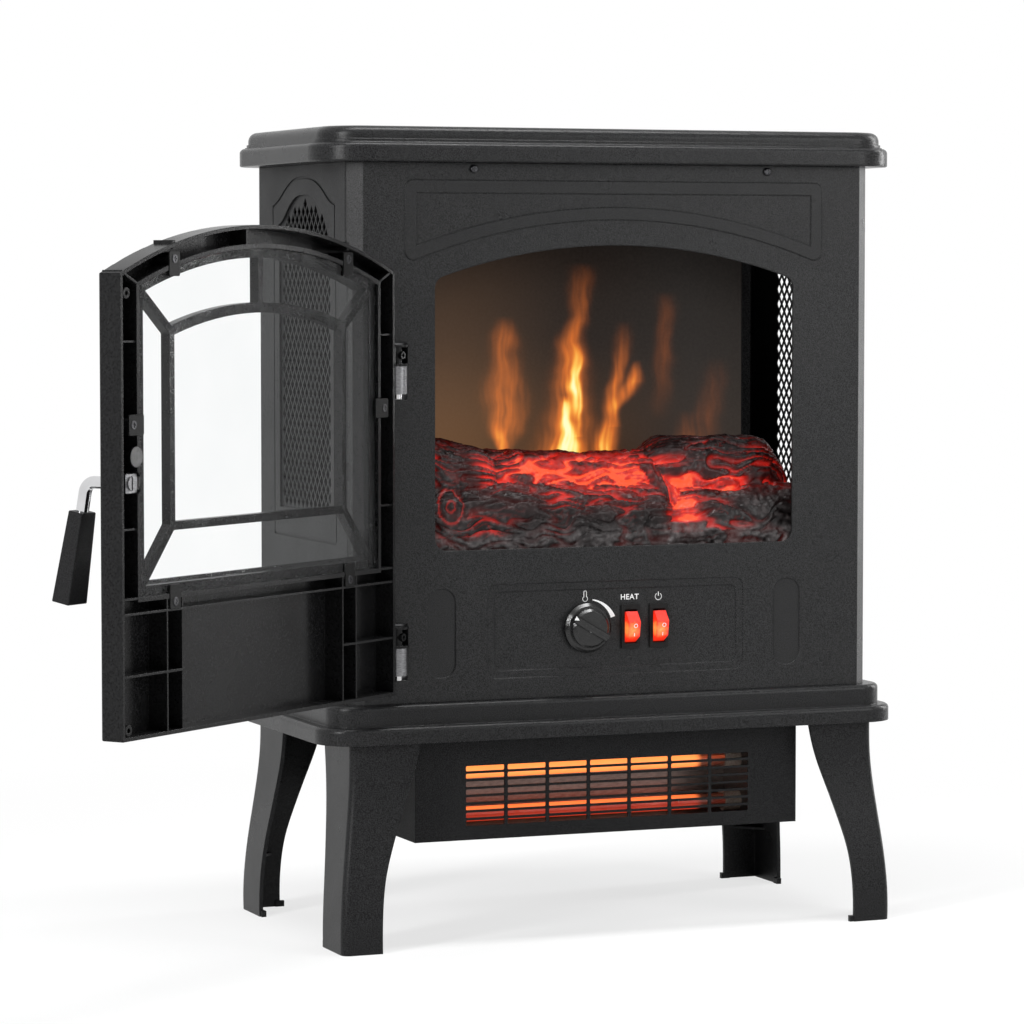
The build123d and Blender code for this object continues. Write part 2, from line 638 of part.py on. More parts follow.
def switch_bezel(x, z):
    """Black snap-in frame of a rocker switch, with its body behind the plate."""
    face = -BODY_HALF_DEPTH + 1.2
    rim = Pos(x, z) * RectangleRounded(14.6, 32.6, 1.2)
    body = from_front(rim, face - 1.8, 1.8)
    body += block((x - 6, x + 6), (face - 0.3, face + 20), (z - 14, z + 14))
    for dx in (-3.6, 3.6):
        body += block((x + dx - 0.4, x + dx + 0.4), (face + 19, face + 27), (z - 8, z - 3))
    body -= block((x - 4.9, x + 4.9), (face - 4, face + 9), (z - 12.4, z + 12.4))
    return body - rod((x - 5.75, ROCKER_Y, z), (x + 5.75, ROCKER_Y, z), 1.26)


ROCKER_Y = -BODY_HALF_DEPTH + 2.2


def rocker(x, z):
    """Rocker with a raised face between two slopes, tipped with its lower half pressed in."""
    edge, face, low = -2.2, -9.5, 3.8
    front = ((edge, 11.6), (face, 5.5), (face, -5.5), (edge, -11.6))
    side = Polyline(*front, (low, -9.4), (low + 1.4, 0), (low, 9.4), close=True)
    body = extrude(side_plane(-4.6) * make_face(side), amount=9.2)
    body += rod((-5.65, 0, 0), (5.65, 0, 0), 1.2)
    return Pos(x, ROCKER_Y, z) * Rot(ROCKER_TILT, 0, 0) * body


def terminal_block():
    """Screw terminal strip for the supply cord, low on the rear sheet's inside."""
    y = BODY_HALF_DEPTH - SIDE_SHEET
    block_body = block((60, 100), (y - 16, y), (198, 214))
    for n in range(3):
        block_body -= rod((68 + n * 12, y - 20, 206), (68 + n * 12, y - 9, 206), 2.6)
    return block_body


def cord_gland():
    """Bushing where the supply cord enters through the rear sheet."""
    y = BODY_HALF_DEPTH
    gland = rod((120, y - 6, 205), (120, y + 3.5, 205), 8.0)
    gland += rod((120, y, 205), (120, y + 3.5, 205), 11.0)
    gland += rod((120, y - 6, 205), (120, y - SIDE_SHEET - 0.05, 205), 9.2)
    return gland - rod((120, y - 10, 205), (120, y + 10, 205), 4.2)


def case_screws():
    """Screws of the rear sheet, and the two that hold the top cover in front."""
    y = BODY_HALF_DEPTH
    screws = [screw((x, y, z), (0, -1, 0), length=6) for x, z in BACK_SCREWS]
    return screws + [screw((x, -y, 558.6), (0, 1, 0), head_r=3.0, length=7) for x in (-112, 120)]


# Door.

def door_place(shape):
    """Carry a shape from the door's flat frame to its place on the open hinge."""
    closed = Pos(0, -BODY_HALF_DEPTH - DOOR_GAP, 0) * shape
    axis_y = -BODY_HALF_DEPTH - HINGE_AHEAD
    turned = Rot(0, 0, -DOOR_OPEN) * (Pos(-HINGE_X, -axis_y, 0) * closed)
    return Pos(HINGE_X, axis_y, 0) * turned


def door_slab(face, w0, w1):
    """Solid of a front-view face between two depths of the door."""
    return extrude(front_plane(-w1) * face, amount=-(w1 - w0))


def door_box(u, w, z):
    return block(u, (-w[1], -w[0]), z)


def window_bars():
    """Flat grid in the window: an arched inner pane, four corner struts and a top bar."""
    t = BAR_WIDTH
    outer = arched_face(105.2, 317.4, 464.9)
    grid = outer - arched_face(105.2 - t, 317.4 + t, 464.9 - 6.8)
    shoulder = arch_z(464.9 - ARCH_CENTRE, 105.2) - 3.4
    top_corner = arch_z(WINDOW_CROWN - ARCH_CENTRE, WINDOW_HALF)
    for side in (-1, 1):
        grid += strut((side * 102.4, shoulder), (side * (WINDOW_HALF + 2), top_corner + 1), t)
        grid += strut((side * 102.4, 320.2), (side * (WINDOW_HALF + 2), WINDOW_BOTTOM - 2), t)
    return grid + strut((0, 461), (0, 498), t)


def strut(a, b, width):
    """Straight flat bar between two points of a front view."""
    start, end = Vector(*a), Vector(*b)
    along = (end - start).normalized()
    across = Vector(-along.Y, along.X) * (width / 2)
    corners = (start + across, end + across, end - across, start - across)
    return make_face(Polyline(*[(p.X, p.Y) for p in corners], close=True))


def door_shell():
    """Moulded door: a dished shell with ribs behind and the window grid in one piece."""
    shell = door_slab(arched_face(DOOR_HALF, DOOR_BOTTOM, DOOR_CROWN), 0, DOOR_THICK)
    outer_edges = shell.edges().filter_by(lambda e: e.center().Y < -DOOR_THICK + 0.1)
    shell = fillet(outer_edges, 2.6)
    wall = DOOR_WALL
    hollow = arched_face(DOOR_HALF - wall, DOOR_BOTTOM + wall, DOOR_CROWN - wall)
    shell -= door_slab(hollow, -1, DOOR_THICK - 2.6)
    shell += window_wall()
    shell -= door_slab(arched_face(WINDOW_HALF, WINDOW_BOTTOM, WINDOW_CROWN), -1, DOOR_THICK + 1)
    shell += door_slab(window_bars() & arched_face(WINDOW_HALF + 1, WINDOW_BOTTOM - 1, WINDOW_CROWN + 1), *BAR_DEPTH)
    shell += door_ribs()
    shell += knuckles()
    shell -= glass_space()
    return shell - door_holes()


def window_wall():
    """Raised wall round the glass and the ledge that the glass lies on."""
    outer = arched_face(145.3, 273.4, DOOR_CROWN - 12.6)
    inner = arched_face(WINDOW_HALF - 2, WINDOW_BOTTOM - 2, WINDOW_CROWN - 1)
    return door_slab(outer - inner, 0.4, DOOR_THICK - 2)


def glass_space():
    """Room for the glass between the wall and the ledge, open to the back."""
    return door_slab(arched_face(GLASS_HALF + 0.4, 276.6, 501.0), -1, BAR_DEPTH[0])


def door_ribs():
    """Thin stiffening ribs of the door's back, at the places seen through its open side."""
    top, deep = 0.5, DOOR_THICK - 2
    ribs = door_box((-161, 161), (top, deep), (265.2, 266.8))
    for u in (-113, -96, 96, 113):
        ribs += door_box((u - 0.8, u + 0.8), (top, deep), (186, 276))
    for side in (-1, 1):
        lo, hi = sorted((side * 96, side * 161))
        ribs += door_box((lo, hi), (top, deep), (225.2, 226.8))
        lo, hi = sorted((side * 144, side * 161))
        ribs += door_box((lo, hi), (top, deep), (275.0, 276.6))
        for z in (320.5, 441.0):
            ribs += door_box((lo, hi), (top + 1, deep), (z - 0.7, z + 0.7))
        lo, hi = sorted((side * 102, side * 105))
        ribs += door_box((lo, hi), (top, deep), (500, 506))
    ribs += door_box((17.6, 19.4), (top + 1, deep), (501, 514))
    corner = strut((-144, 478), (-161, 486), 1.6) + strut((144, 478), (161, 486), 1.6)
    ribs += door_slab(corner, top, deep)
    for u, z, r in bosses():
        ribs += rod((u, -CLIP_SEAT, z), (u, -deep, z), r)
    return ribs


CLIP_SEAT = 1.2


def clip_points():
    """Screw places of the six glass clips, and the way each clip reaches for the glass."""
    top = arch_z(423.6, 103.5)
    return [(-103.5, top, (0, -1)), (103.5, top, (0, -1)), (-149.6, 389.5, (1, 0)),
            (149.6, 387.5, (-1, 0)), (-104.5, 271.2, (0, 1)), (104.5, 271.2, (0, 1))]


def bosses():
    places = [(u, z, 4.4) for u, z, reach in clip_points()]
    return places + [(155.0, 472, 3.6), (155.2, 191.4, 3.6), (HANDLE_U, HANDLE_Z, 7.0)]


def door_holes():
    """Seats and screw holes of the clips, the magnet's seat and the handle's hole."""
    cut = rod((HANDLE_U, 1, HANDLE_Z), (HANDLE_U, -30, HANDLE_Z), 4.3)
    cut += rod((HANDLE_U, 1, HANDLE_Z), (HANDLE_U, -4.2, HANDLE_Z), 9.0)
    for u, z, reach in clip_points():
        cut += rod((u, 1, z), (u, -12, z), 1.55)
        cut += door_slab(clip_outline(u, z, reach, 0.2), -1, CLIP_SEAT)
    for u, z in ((155.0, 472), (155.2, 191.4)):
        cut += rod((u, 1, z), (u, -10, z), 1.6)
    cut += rod((147.2, 1, 367), (147.2, -1.4, 367), 7.0)
    cut += rod((147.2, 1, 367), (147.2, -DOOR_THICK + 2.6, 367), 4.05)
    return cut


def knuckles():
    """Hollow hinge knuckles moulded on the door's hinge side, each with a pin bore."""
    u0, w0 = HINGE_X, HINGE_AHEAD - DOOR_GAP
    both = None
    for z in HINGE_Z:
        k = rod((u0, -w0, z), (u0, -w0, z + 14.8), KNUCKLE_R)
        k += door_box((u0, -DOOR_HALF + 1), (0.2, w0 + KNUCKLE_R), (z, z + 14.8))
        pocket = door_box((u0 - 6.6, u0 + 7.4), (-6, w0 + 5.6), (z + 1.6, z + 13.2))
        column = rod((u0, -w0, z), (u0, -w0, z + 14.8), 3.6)
        web = door_box((u0 - 7.4, u0 + 8), (w0 - 2.5, w0 + 6), (z + 6.9, z + 7.9))
        ring = rod((u0, -w0 + 5.4, z + 7.4), (u0, -w0, z + 7.4), 2.9)
        ring -= rod((u0, -w0 + 7, z + 7.4), (u0, -w0 + 3.4, z + 7.4), 1.4)
        k = k - pocket + column + web + ring
        k -= rod((u0, -w0, z - 1), (u0, -w0, z + 16), PIN_R + 0.06)
        both = k if both is None else both + k
    return both


def door_glass():
    """Clear arched pane, held behind the grid by the clips."""
    pane = arched_face(GLASS_HALF, 277.0, 500.6)
    return door_slab(pane, CLIP_SEAT, BAR_DEPTH[0])


def clip_outline(u, z, reach, grow=0.0):
    """Outline of one glass clip, reaching from its screw over the edge of the glass."""
    du, dz = reach
    wide, high = (11.6, 16.0) if dz else (16.0, 13.4)
    plate = RectangleRounded(wide + 2 * grow, high + 2 * grow, 1.4)
    return Pos(u + du * 3.2, z + dz * 3.2) * plate


def glass_clip(u, z, reach):
    """Small moulded plate, screwed to a boss, whose tongue lies on the glass."""
    return door_slab(clip_outline(u, z, reach) - Pos(u, z) * Circle(1.75), 0.0, CLIP_SEAT)


def glass_clips():
    return [glass_clip(u, z, reach) for u, z, reach in clip_points()]


def clip_screws():
    """Low flat-headed screws of the glass clips."""
    low = []
    for u, z, reach in clip_points():
        low.append(screw((u, 0.0, z), (0, -1, 0), head_r=2.9, head_h=0.45, shank_r=1.5, length=9))
    return low


def door_magnet():
    """Round catch magnet let into the free side of the door's back."""
    disc = rod((147.2, 0.45, 367), (147.2, -1.15, 367), 6.6)
    return disc + rod((147.2, -1.0, 367), (147.2, -DOOR_THICK + 2.65, 367), 4.0)


HANDLE_R = 4.3


def handle_rod():
    """Bright bent rod: straight out through the door, then down and outwards."""
    out, bend = 37.4, 8.0
    lean = radians(HANDLE_LEAN)
    drop = 24.0
    path = FilletPolyline((HANDLE_U, -5.2, HANDLE_Z), (HANDLE_U, -out, HANDLE_Z),
                          (HANDLE_U, -out - drop * tan(lean), HANDLE_Z - drop), radius=bend)
    start = Plane(origin=(HANDLE_U, -5.2, HANDLE_Z), z_dir=(0, -1, 0))
    bent = sweep(start * Circle(HANDLE_R - 0.06), path=path)
    return bent - rod((HANDLE_U, -4, HANDLE_Z), (HANDLE_U, -14, HANDLE_Z), 2.5)


def grip_frame():
    """Plane at the grip's top, its normal pointing down along the leaning rod."""
    lean = radians(HANDLE_LEAN)
    down = (0, -sin(lean), -cos(lean))
    at = (HANDLE_U, -37.4 - 19.0 * tan(lean), HANDLE_Z - 19.0)
    return Plane(origin=at, x_dir=(1, 0, 0), z_dir=down)


def handle_grip():
    """Square tapered grip, wider at its lower end, bored for the rod."""
    top = Rectangle(15.6, 11.0)
    foot = Pos(0, 0, 60.5) * Rectangle(20.4, 13.8)
    body = loft([top, foot])
    body = chamfer(body.edges(), 0.6)
    body -= Cylinder(HANDLE_R, 5.2, align=(Align.CENTER, Align.CENTER, Align.MIN))
    return grip_frame() * body


def handle_screw():
    """Slotted screw with a thin square head that holds the rod inside the door."""
    plate = Pos(HANDLE_U, HANDLE_Z) * RectangleRounded(12.4, 12.4, 1)
    head = door_slab(plate, 1.9, 4.2) + rod((HANDLE_U, -1, HANDLE_Z), (HANDLE_U, -2, HANDLE_Z), 4.4)
    head -= door_box((HANDLE_U - 0.6, HANDLE_U + 0.6), (0, 2.2), (HANDLE_Z - 5, HANDLE_Z + 5))
    return head + rod((HANDLE_U, -4, HANDLE_Z), (HANDLE_U, -12, HANDLE_Z), 2.45)


# Hinges.

def hinge_plate(z):
    """Folded plate inside the front sheet whose rolled barrel stands in the door's line."""
    y = -BODY_HALF_DEPTH - HINGE_AHEAD
    inner = -BODY_HALF_DEPTH + SHEET
    plate = block((HINGE_X - 12.5, HINGE_X + 22), (inner + 3.4, inner + 4.9), (z - 25, z + 17))
    plate += block((HINGE_X + 9.4, HINGE_X + 22), (inner + 0.02, inner + 1.52), (z - 25, z + 17))
    plate += block((HINGE_X + 9.4, HINGE_X + 10.9), (inner + 0.02, inner + 4.9), (z - 25, z + 17))
    barrel = rod((HINGE_X, y, z - 20.2), (HINGE_X, y, z - 0.35), 7.2)
    barrel += block((HINGE_X - 4.0, HINGE_X + 7.2), (y, inner + 3.6), (z - 20.2, z - 0.35))
    plate += barrel
    plate -= rod((HINGE_X, y, z - 30), (HINGE_X, y, z + 5), PIN_R)
    for dz in (-19, 11):
        plate -= rod((HINGE_X + 16, -110, z + dz), (HINGE_X + 16, -85, z + dz), 1.4)
    return plate


def hinge_pin(z):
    """Headed pin: pressed in the barrel, free in the door's knuckle above it."""
    y = -BODY_HALF_DEPTH - HINGE_AHEAD
    pin = rod((HINGE_X, y, z - 23.6), (HINGE_X, y, z + 14.4), PIN_R)
    return pin + rod((HINGE_X, y, z - 23.6), (HINGE_X, y, z - 20.2), 3.3)


def hinge_screws():
    seat = -BODY_HALF_DEPTH + SHEET + 1.52
    return [screw((HINGE_X + 16, seat, z + dz), (0, -1, 0), head_r=2.6, head_h=1.6,
                  shank_r=1.35, length=2.4) for z in HINGE_Z for dz in (-19, 11)]


# Writing the parts.

def save(name, shape):
    """Write one sub-part, moved to the common origin."""
    pieces = shape if isinstance(shape, list) else [shape]
    moved = [Pos(*ORIGIN_SHIFT) * piece for piece in pieces]
    solids = [s for piece in moved for s in piece.solids()]
    export_step(solids[0] if len(solids) == 1 else Compound(solids), f"parts/{name}.step")


def on_door(shape):
    return [door_place(p) for p in shape] if isinstance(shape, list) else door_place(shape)


def write_cabinet():
    save("front_panel", front_panel())
    save("back_panel", back_panel())
    save("top_cover", top_cover())
    save("base_plate", base_plate())
    for side, name in ((-1, "left"), (1, "right")):
        save(f"side_panel_{name}", side_panel(side))
        save(f"side_mesh_{name}", side_mesh(side))
        save(f"leg_front_{name}", leg(side, -1))
        save(f"leg_back_{name}", leg(side, 1))
    save("leg_screws", leg_screws())
    save("case_screws", case_screws())
    save("terminal_block", terminal_block())
    save("cord_gland", cord_gland())


def write_heater():
    save("heater_box", heater_box())
    save("reflector", reflector())
    for z, level in zip(TUBE_Z, ("upper", "lower")):
        save(f"quartz_tube_{level}", quartz_tube(z))
        save(f"element_{level}", element_coil(z))
        for side, name in ((-1, "left"), (1, "right")):
            save(f"tube_end_{level}_{name}", tube_end(side, z))
    save("tube_plate_left", tube_plate(-1))
    save("tube_plate_right", tube_plate(1))
    save("fan_wheel", fan_wheel())
    save("fan_housing", fan_housing())
    save("fan_motor", fan_motor())
    save("thermal_cutout", thermal_cutout())


def write_fire():
    save("fire_shelf", fire_shelf())
    save("log_set", log_set())
    save("flame_screen", flame_screen())
    save("flame_spindle", flame_spindle())
    save("spindle_bearing", spindle_bearing())
    save("spindle_motor", spindle_motor())
    save("lamp_strip", lamp_strip())


def write_controls():
    save("thermostat", thermostat())
    save("bushing_nut", bushing_nut())
    save("thermostat_shaft", thermostat_shaft())
    save("knob", knob())
    for (x, z), name in zip(SWITCH_XZ, ("heat", "power")):
        save(f"switch_body_{name}", switch_bezel(x, z))
        save(f"rocker_{name}", rocker(x, z))


def write_door():
    save("door_shell", on_door(door_shell()))
    save("door_glass", on_door(door_glass()))
    save("glass_clips", on_door(glass_clips()))
    save("clip_screws", on_door(clip_screws()))
    save("door_magnet", on_door(door_magnet()))
    save("handle_rod", on_door(handle_rod()))
    save("handle_grip", on_door(handle_grip()))
    save("handle_screw", on_door(handle_screw()))
    save("hinge_plate_upper", hinge_plate(HINGE_Z[0]))
    save("hinge_plate_lower", hinge_plate(HINGE_Z[1]))
    save("hinge_pins", [hinge_pin(z) for z in HINGE_Z])
    save("hinge_screws", hinge_screws())


write_cabinet()
write_heater()
write_fire()
write_controls()
write_door()
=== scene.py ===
import math

import bmesh
import bpy
import numpy as np
from mathutils import Matrix, Vector, noise


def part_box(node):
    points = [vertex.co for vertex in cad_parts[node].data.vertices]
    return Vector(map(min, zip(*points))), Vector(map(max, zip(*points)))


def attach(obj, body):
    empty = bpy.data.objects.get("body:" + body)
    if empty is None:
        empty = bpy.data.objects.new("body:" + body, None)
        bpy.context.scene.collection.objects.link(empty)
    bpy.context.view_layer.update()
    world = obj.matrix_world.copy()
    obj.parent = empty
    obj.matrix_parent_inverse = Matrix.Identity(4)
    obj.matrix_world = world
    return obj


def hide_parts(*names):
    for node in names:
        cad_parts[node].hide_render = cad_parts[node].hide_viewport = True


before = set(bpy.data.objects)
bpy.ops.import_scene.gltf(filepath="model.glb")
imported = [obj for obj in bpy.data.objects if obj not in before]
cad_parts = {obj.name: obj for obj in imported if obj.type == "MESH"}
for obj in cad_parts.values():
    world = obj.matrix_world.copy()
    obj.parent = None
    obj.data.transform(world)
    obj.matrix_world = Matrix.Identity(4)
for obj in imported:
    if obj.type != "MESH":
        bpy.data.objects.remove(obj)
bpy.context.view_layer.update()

mm = 0.001

# The cabinet's sheets: the front with its fire opening, two sides, the back, the heater box
# below the base and the shelf inside. All are folded steel under one black powder coat, a
# fine even grain that catches the light in small points, helped by painted highlight and
# shade: the coat's colour is lighter on the grain's raised points and darker in its pits.
coat_pit_shade = (0.003, 0.003, 0.0032, 1)
coat_peak_highlight = (0.024, 0.0243, 0.025, 1)
coat_grain, coat_relief = 0.62 * mm, 0.16 * mm
pressed_edge = 1.3 * mm


def new_finish(name):
    """A material, its node tree, its shader and the place on the piece that patterns follow."""
    material = bpy.data.materials.new(name)
    material.use_nodes = True
    tree = material.node_tree
    place = tree.nodes.new("ShaderNodeTexCoord").outputs["Object"]
    return material, tree, tree.nodes["Principled BSDF"], place


def cloud(tree, place, size, detail=2.0):
    """Noise from 0 to 1 with patches of about the given size."""
    node = tree.nodes.new("ShaderNodeTexNoise")
    node.inputs["Scale"].default_value = 1 / size
    node.inputs["Detail"].default_value = detail
    tree.links.new(place, node.inputs["Vector"])
    return node.outputs["Fac"]


def blend_colours(tree, value, stops):
    """Colour that runs through the stops, each a place from 0 to 1 and a colour."""
    node = tree.nodes.new("ShaderNodeValToRGB")
    ramp = node.color_ramp
    ramp.elements[0].position, ramp.elements[0].color = stops[0]
    ramp.elements[1].position, ramp.elements[1].color = stops[-1]
    for position, colour in stops[1:-1]:
        ramp.elements.new(position).color = colour
    tree.links.new(value, node.inputs["Fac"])
    return node.outputs["Color"]


def rescale(tree, value, low, high):
    """The value, moved from its middle range to low and high."""
    node = tree.nodes.new("ShaderNodeMapRange")
    node.inputs["From Min"].default_value = 0.3
    node.inputs["From Max"].default_value = 0.7
    node.inputs["To Min"].default_value = low
    node.inputs["To Max"].default_value = high
    tree.links.new(value, node.inputs["Value"])
    return node.outputs["Result"]


def soften_and_grain(tree, shader, height, depth, edge, strength=1.0):
    """Rounds the piece's sharp edges in the light and raises the grain on them."""
    soft = tree.nodes.new("ShaderNodeBevel")
    soft.samples = 4
    soft.inputs["Radius"].default_value = edge
    bump = tree.nodes.new("ShaderNodeBump")
    bump.inputs["Strength"].default_value = strength
    bump.inputs["Distance"].default_value = depth
    tree.links.new(soft.outputs["Normal"], bump.inputs["Normal"])
    tree.links.new(height, bump.inputs["Height"])
    tree.links.new(bump.outputs["Normal"], shader.inputs["Normal"])


def grained_black(name, pit_shade, peak_highlight, grain, depth, gloss, edge=0.7 * mm, shine=0.05):
    """Black finish with a fine raised grain and a slightly uneven gloss; its colour is painted lighter on
    the grain's raised points and darker in its pits, as highlight and shade.
    """
    material, tree, shader, place = new_finish(name)
    shader.inputs["Specular IOR Level"].default_value = shine
    grain_and_highlight = cloud(tree, place, grain)
    # Painted highlight and shade: the noise that raises the grain also makes its peaks lighter and its pits
    # darker.
    stops = ((0.36, pit_shade), (0.62, peak_highlight))
    tree.links.new(blend_colours(tree, grain_and_highlight, stops), shader.inputs["Base Color"])
    patches = cloud(tree, place, 45 * mm)
    tree.links.new(rescale(tree, patches, *gloss), shader.inputs["Roughness"])
    soften_and_grain(tree, shader, grain_and_highlight, depth, edge)
    return material


def finish(material, *nodes):
    """Gives carried-over nodes of the frame their finish."""
    for node in nodes:
        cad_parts[node].material_slots[0].material = material


powder_coat = grained_black("powder_coat", coat_pit_shade, coat_peak_highlight, coat_grain, coat_relief, (0.36, 0.43))
front_coat = grained_black("front_coat", coat_pit_shade, coat_peak_highlight, coat_grain, coat_relief, (0.26, 0.33),
                           pressed_edge, shine=0.17)
finish(front_coat, "front_panel")
finish(powder_coat, "side_panel_left", "side_panel_right", "back_panel", "heater_box")
shelf_coat = grained_black("shelf_coat", coat_pit_shade, coat_peak_highlight, coat_grain, 0.1 * mm, (0.4, 0.5))
finish(shelf_coat, "fire_shelf")

# Expanded-metal mesh behind each side window: one slit and stretched sheet, painted with the
# same black, a little glossier on its narrow strands.
mesh_paint = grained_black("mesh_paint", coat_pit_shade, coat_peak_highlight, 0.9 * mm, 0.05 * mm, (0.36, 0.44),
                           edge=0.3 * mm)
finish(mesh_paint, "side_mesh_left", "side_mesh_right")

# Top cover and base: moulded, heat-resistant black with a slightly coarser grain than the
# sheets, rounded on every edge, so long soft highlights run along their steps.
moulded_black = grained_black("moulded_black", (0.004, 0.004, 0.0043, 1), (0.023, 0.0233, 0.024, 1),
                              0.8 * mm, 0.12 * mm, (0.24, 0.3), edge=1.1 * mm, shine=0.14)
finish(moulded_black, "top_cover", "base_plate")

# Four curved legs of L section, moulded in the same black as the base and a little duller.
# Each is screwed up into the base from below.
leg_black = grained_black("leg_black", (0.004, 0.004, 0.0043, 1), (0.021, 0.0213, 0.022, 1),
                          0.8 * mm, 0.12 * mm, (0.26, 0.33), edge=1.2 * mm, shine=0.1)
finish(leg_black, "leg_front_left", "leg_front_right", "leg_back_left", "leg_back_right")

# Fasteners: blackened cross-head screws of the case and legs, zinc-plated ones and the plates
# of the hinges, bright pins. The plating is faintly brushed and cloudy.


def metal(name, dark, pale, gloss, streak=(1, 1, 1), size=3 * mm, edge=0.3 * mm):
    """Bare or plated metal with faint streaks and uneven gloss."""
    material, tree, shader, place = new_finish(name)
    stretch = tree.nodes.new("ShaderNodeMapping")
    stretch.inputs["Scale"].default_value = streak
    tree.links.new(place, stretch.inputs["Vector"])
    streaks = cloud(tree, stretch.outputs["Vector"], size, 4.0)
    tree.links.new(blend_colours(tree, streaks, ((0.3, dark), (0.7, pale))), shader.inputs["Base Color"])
    tree.links.new(rescale(tree, streaks, *gloss), shader.inputs["Roughness"])
    shader.inputs["Metallic"].default_value = 1.0
    soften_and_grain(tree, shader, streaks, 0.01 * mm, edge, 0.4)
    return material


black_screw = metal("blackened_screw", (0.03, 0.03, 0.032, 1), (0.07, 0.07, 0.074, 1), (0.3, 0.42))
zinc = metal("zinc_plating", (0.1, 0.1, 0.105, 1), (0.24, 0.24, 0.245, 1), (0.3, 0.42), (1, 1, 6))
bright_steel = metal("bright_steel", (0.5, 0.5, 0.5, 1), (0.62, 0.62, 0.62, 1), (0.16, 0.24), (6, 1, 1))
finish(black_screw, "leg_screws", "case_screws", "clip_screws")
finish(zinc, "hinge_plate_upper", "hinge_plate_lower", "hinge_screws", "handle_screw", "bushing_nut")
finish(zinc, "tube_plate_left", "tube_plate_right", "fan_housing")
finish(bright_steel, "hinge_pins", "thermostat_shaft")

# Log set: one thin moulding of several charred logs, lit from inside. Red light shows in the
# grooves of the bark and floods the bed between the front log and the one behind it. The
# ridges are ash grey, the front edge is a strip of crumbled ash.
log_low, log_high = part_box("log_set")
middle_x = (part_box("front_panel")[0].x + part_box("front_panel")[1].x) / 2
middle_y = (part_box("top_cover")[0].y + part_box("top_cover")[1].y) / 2
log_lines = (
    # each log: start, end, radius at the start and at the end, slope of its grooves
    ((-160, -56, 338), (-108, -60, 331), 33, 30, 0.2),
    ((-96, -52, 325), (74, -52, 326), 31, 27, 0.1),
    ((58, -54, 336), (124, -50, 337), 27, 27, -0.3),
    ((124, -50, 337), (152, -46, 312), 27, 22, -0.9),
    ((-152, -70, 312), (34, -71, 306), 27, 24, 0.55),
    ((66, -70, 300), (152, -68, 305), 26, 24, -0.15),
    ((36, -66, 338), (64, -80, 298), 12, 13, 0.0),
)
bed_depth = (-92 * mm, -20 * mm)
bed_wide, bed_top = 300 * mm, 296 * mm
skin_step = 1.25 * mm

# The bark, in millimetres: how high its lumps and crumbs stand, how deep its grooves and
# nicks are, and how long and wide these are.
lump_high, crumb_high, groove_deep, nick_deep, ash_rough = 2.6, 0.7, 2.6, 1.1, 1.1
groove_long, groove_wide, nick_long, nick_wide = 26, 6.2, 13, 2.9
knot_x, knot_z, knot_wide, knot_high = -127, 317, 9, 12
ash_line, ash_fade = 304, 12
ash_strip_top, ash_strip_depth = 294, -84
front_logs = (4, 5)


def cabinet_point(point):
    """A point drawn from the middle of the cabinet, in millimetres, as a place in the frame."""
    return Vector((middle_x + point[0] * mm, middle_y + point[1] * mm, point[2] * mm))


def new_piece(name, verts, faces, material, body):
    """A mesh piece with its finish, riding on a body."""
    mesh = bpy.data.meshes.new(name)
    mesh.from_pydata([tuple(v) for v in verts], [], faces)
    mesh.update()
    piece = bpy.data.objects.new(name, mesh)
    bpy.context.scene.collection.objects.link(piece)
    mesh.materials.append(material)
    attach(piece, body)
    return piece


def log_body(bm, start, end, r0, r1):
    """Closed tapered log with round ends."""
    along = end - start
    turn = along.to_track_quat("Z", "Y").to_matrix().to_4x4()
    place = Matrix.Translation((start + end) / 2) @ turn
    bmesh.ops.create_cone(bm, cap_ends=True, segments=40, radius1=r0, radius2=r1,
                          depth=along.length, matrix=place)
    for centre, radius in ((start, r0), (end, r1)):
        bmesh.ops.create_uvsphere(bm, u_segments=32, v_segments=20, radius=radius,
                                  matrix=Matrix.Translation(centre))


def joined_logs():
    """All the logs and their bed as one skin of even small faces, cut to the tray."""
    bm = bmesh.new()
    for start, end, r0, r1, slope in log_lines:
        log_body(bm, cabinet_point(start), cabinet_point(end), r0 * mm, r1 * mm)
    centre = Vector((middle_x, middle_y + sum(bed_depth) / 2, (log_low.z + bed_top) / 2))
    size = Vector((bed_wide, bed_depth[1] - bed_depth[0], bed_top - log_low.z))
    bmesh.ops.create_cube(bm, size=1, matrix=Matrix.Translation(centre) @ Matrix.Diagonal((*size, 1)))
    mesh = bpy.data.meshes.new("logs_rough")
    bm.to_mesh(mesh)
    bm.free()
    rough = bpy.data.objects.new("logs_rough", mesh)
    bpy.context.scene.collection.objects.link(rough)
    skin = rough.modifiers.new("skin", "REMESH")
    skin.mode = "VOXEL"
    skin.voxel_size = skin_step
    smooth = rough.modifiers.new("smooth", "SMOOTH")
    smooth.factor = 0.5
    smooth.iterations = 6
    graph = bpy.context.evaluated_depsgraph_get()
    whole = bpy.data.meshes.new_from_object(rough.evaluated_get(graph))
    bpy.data.objects.remove(rough)
    return whole


def ridge(value, width):
    """1 on the line where a noise crosses nought, falling to 0 at the given width."""
    return max(0.0, 1 - abs(value) / width)


def soft_step(value, low, high):
    t = min(1.0, max(0.0, (value - low) / (high - low)))
    return t * t * (3 - 2 * t)


def nearest_log(point):
    """The log that a point of the skin belongs to, and its place along and round that log."""
    best = None
    for number, (start, end, r0, r1, slope) in enumerate(log_lines):
        a, b = Vector(start), Vector(end)
        axis = b - a
        share = min(1.0, max(0.0, (point - a).dot(axis) / axis.length_squared))
        foot = a + axis * share
        gap = (point - foot).length - (r0 + (r1 - r0) * share)
        if best is None or gap < best[0]:
            side = point - foot
            around = math.atan2(side.z, -side.y) * (r0 + r1) / 2
            best = (gap, number, share * axis.length + slope * around, around)
    return best[1:]


def spot(point, x, z, wide, high):
    """Soft patch of light in the front view, 1 in its middle."""
    return math.exp(-((point.x - x) / wide) ** 2 - ((point.z - z) / high) ** 2)


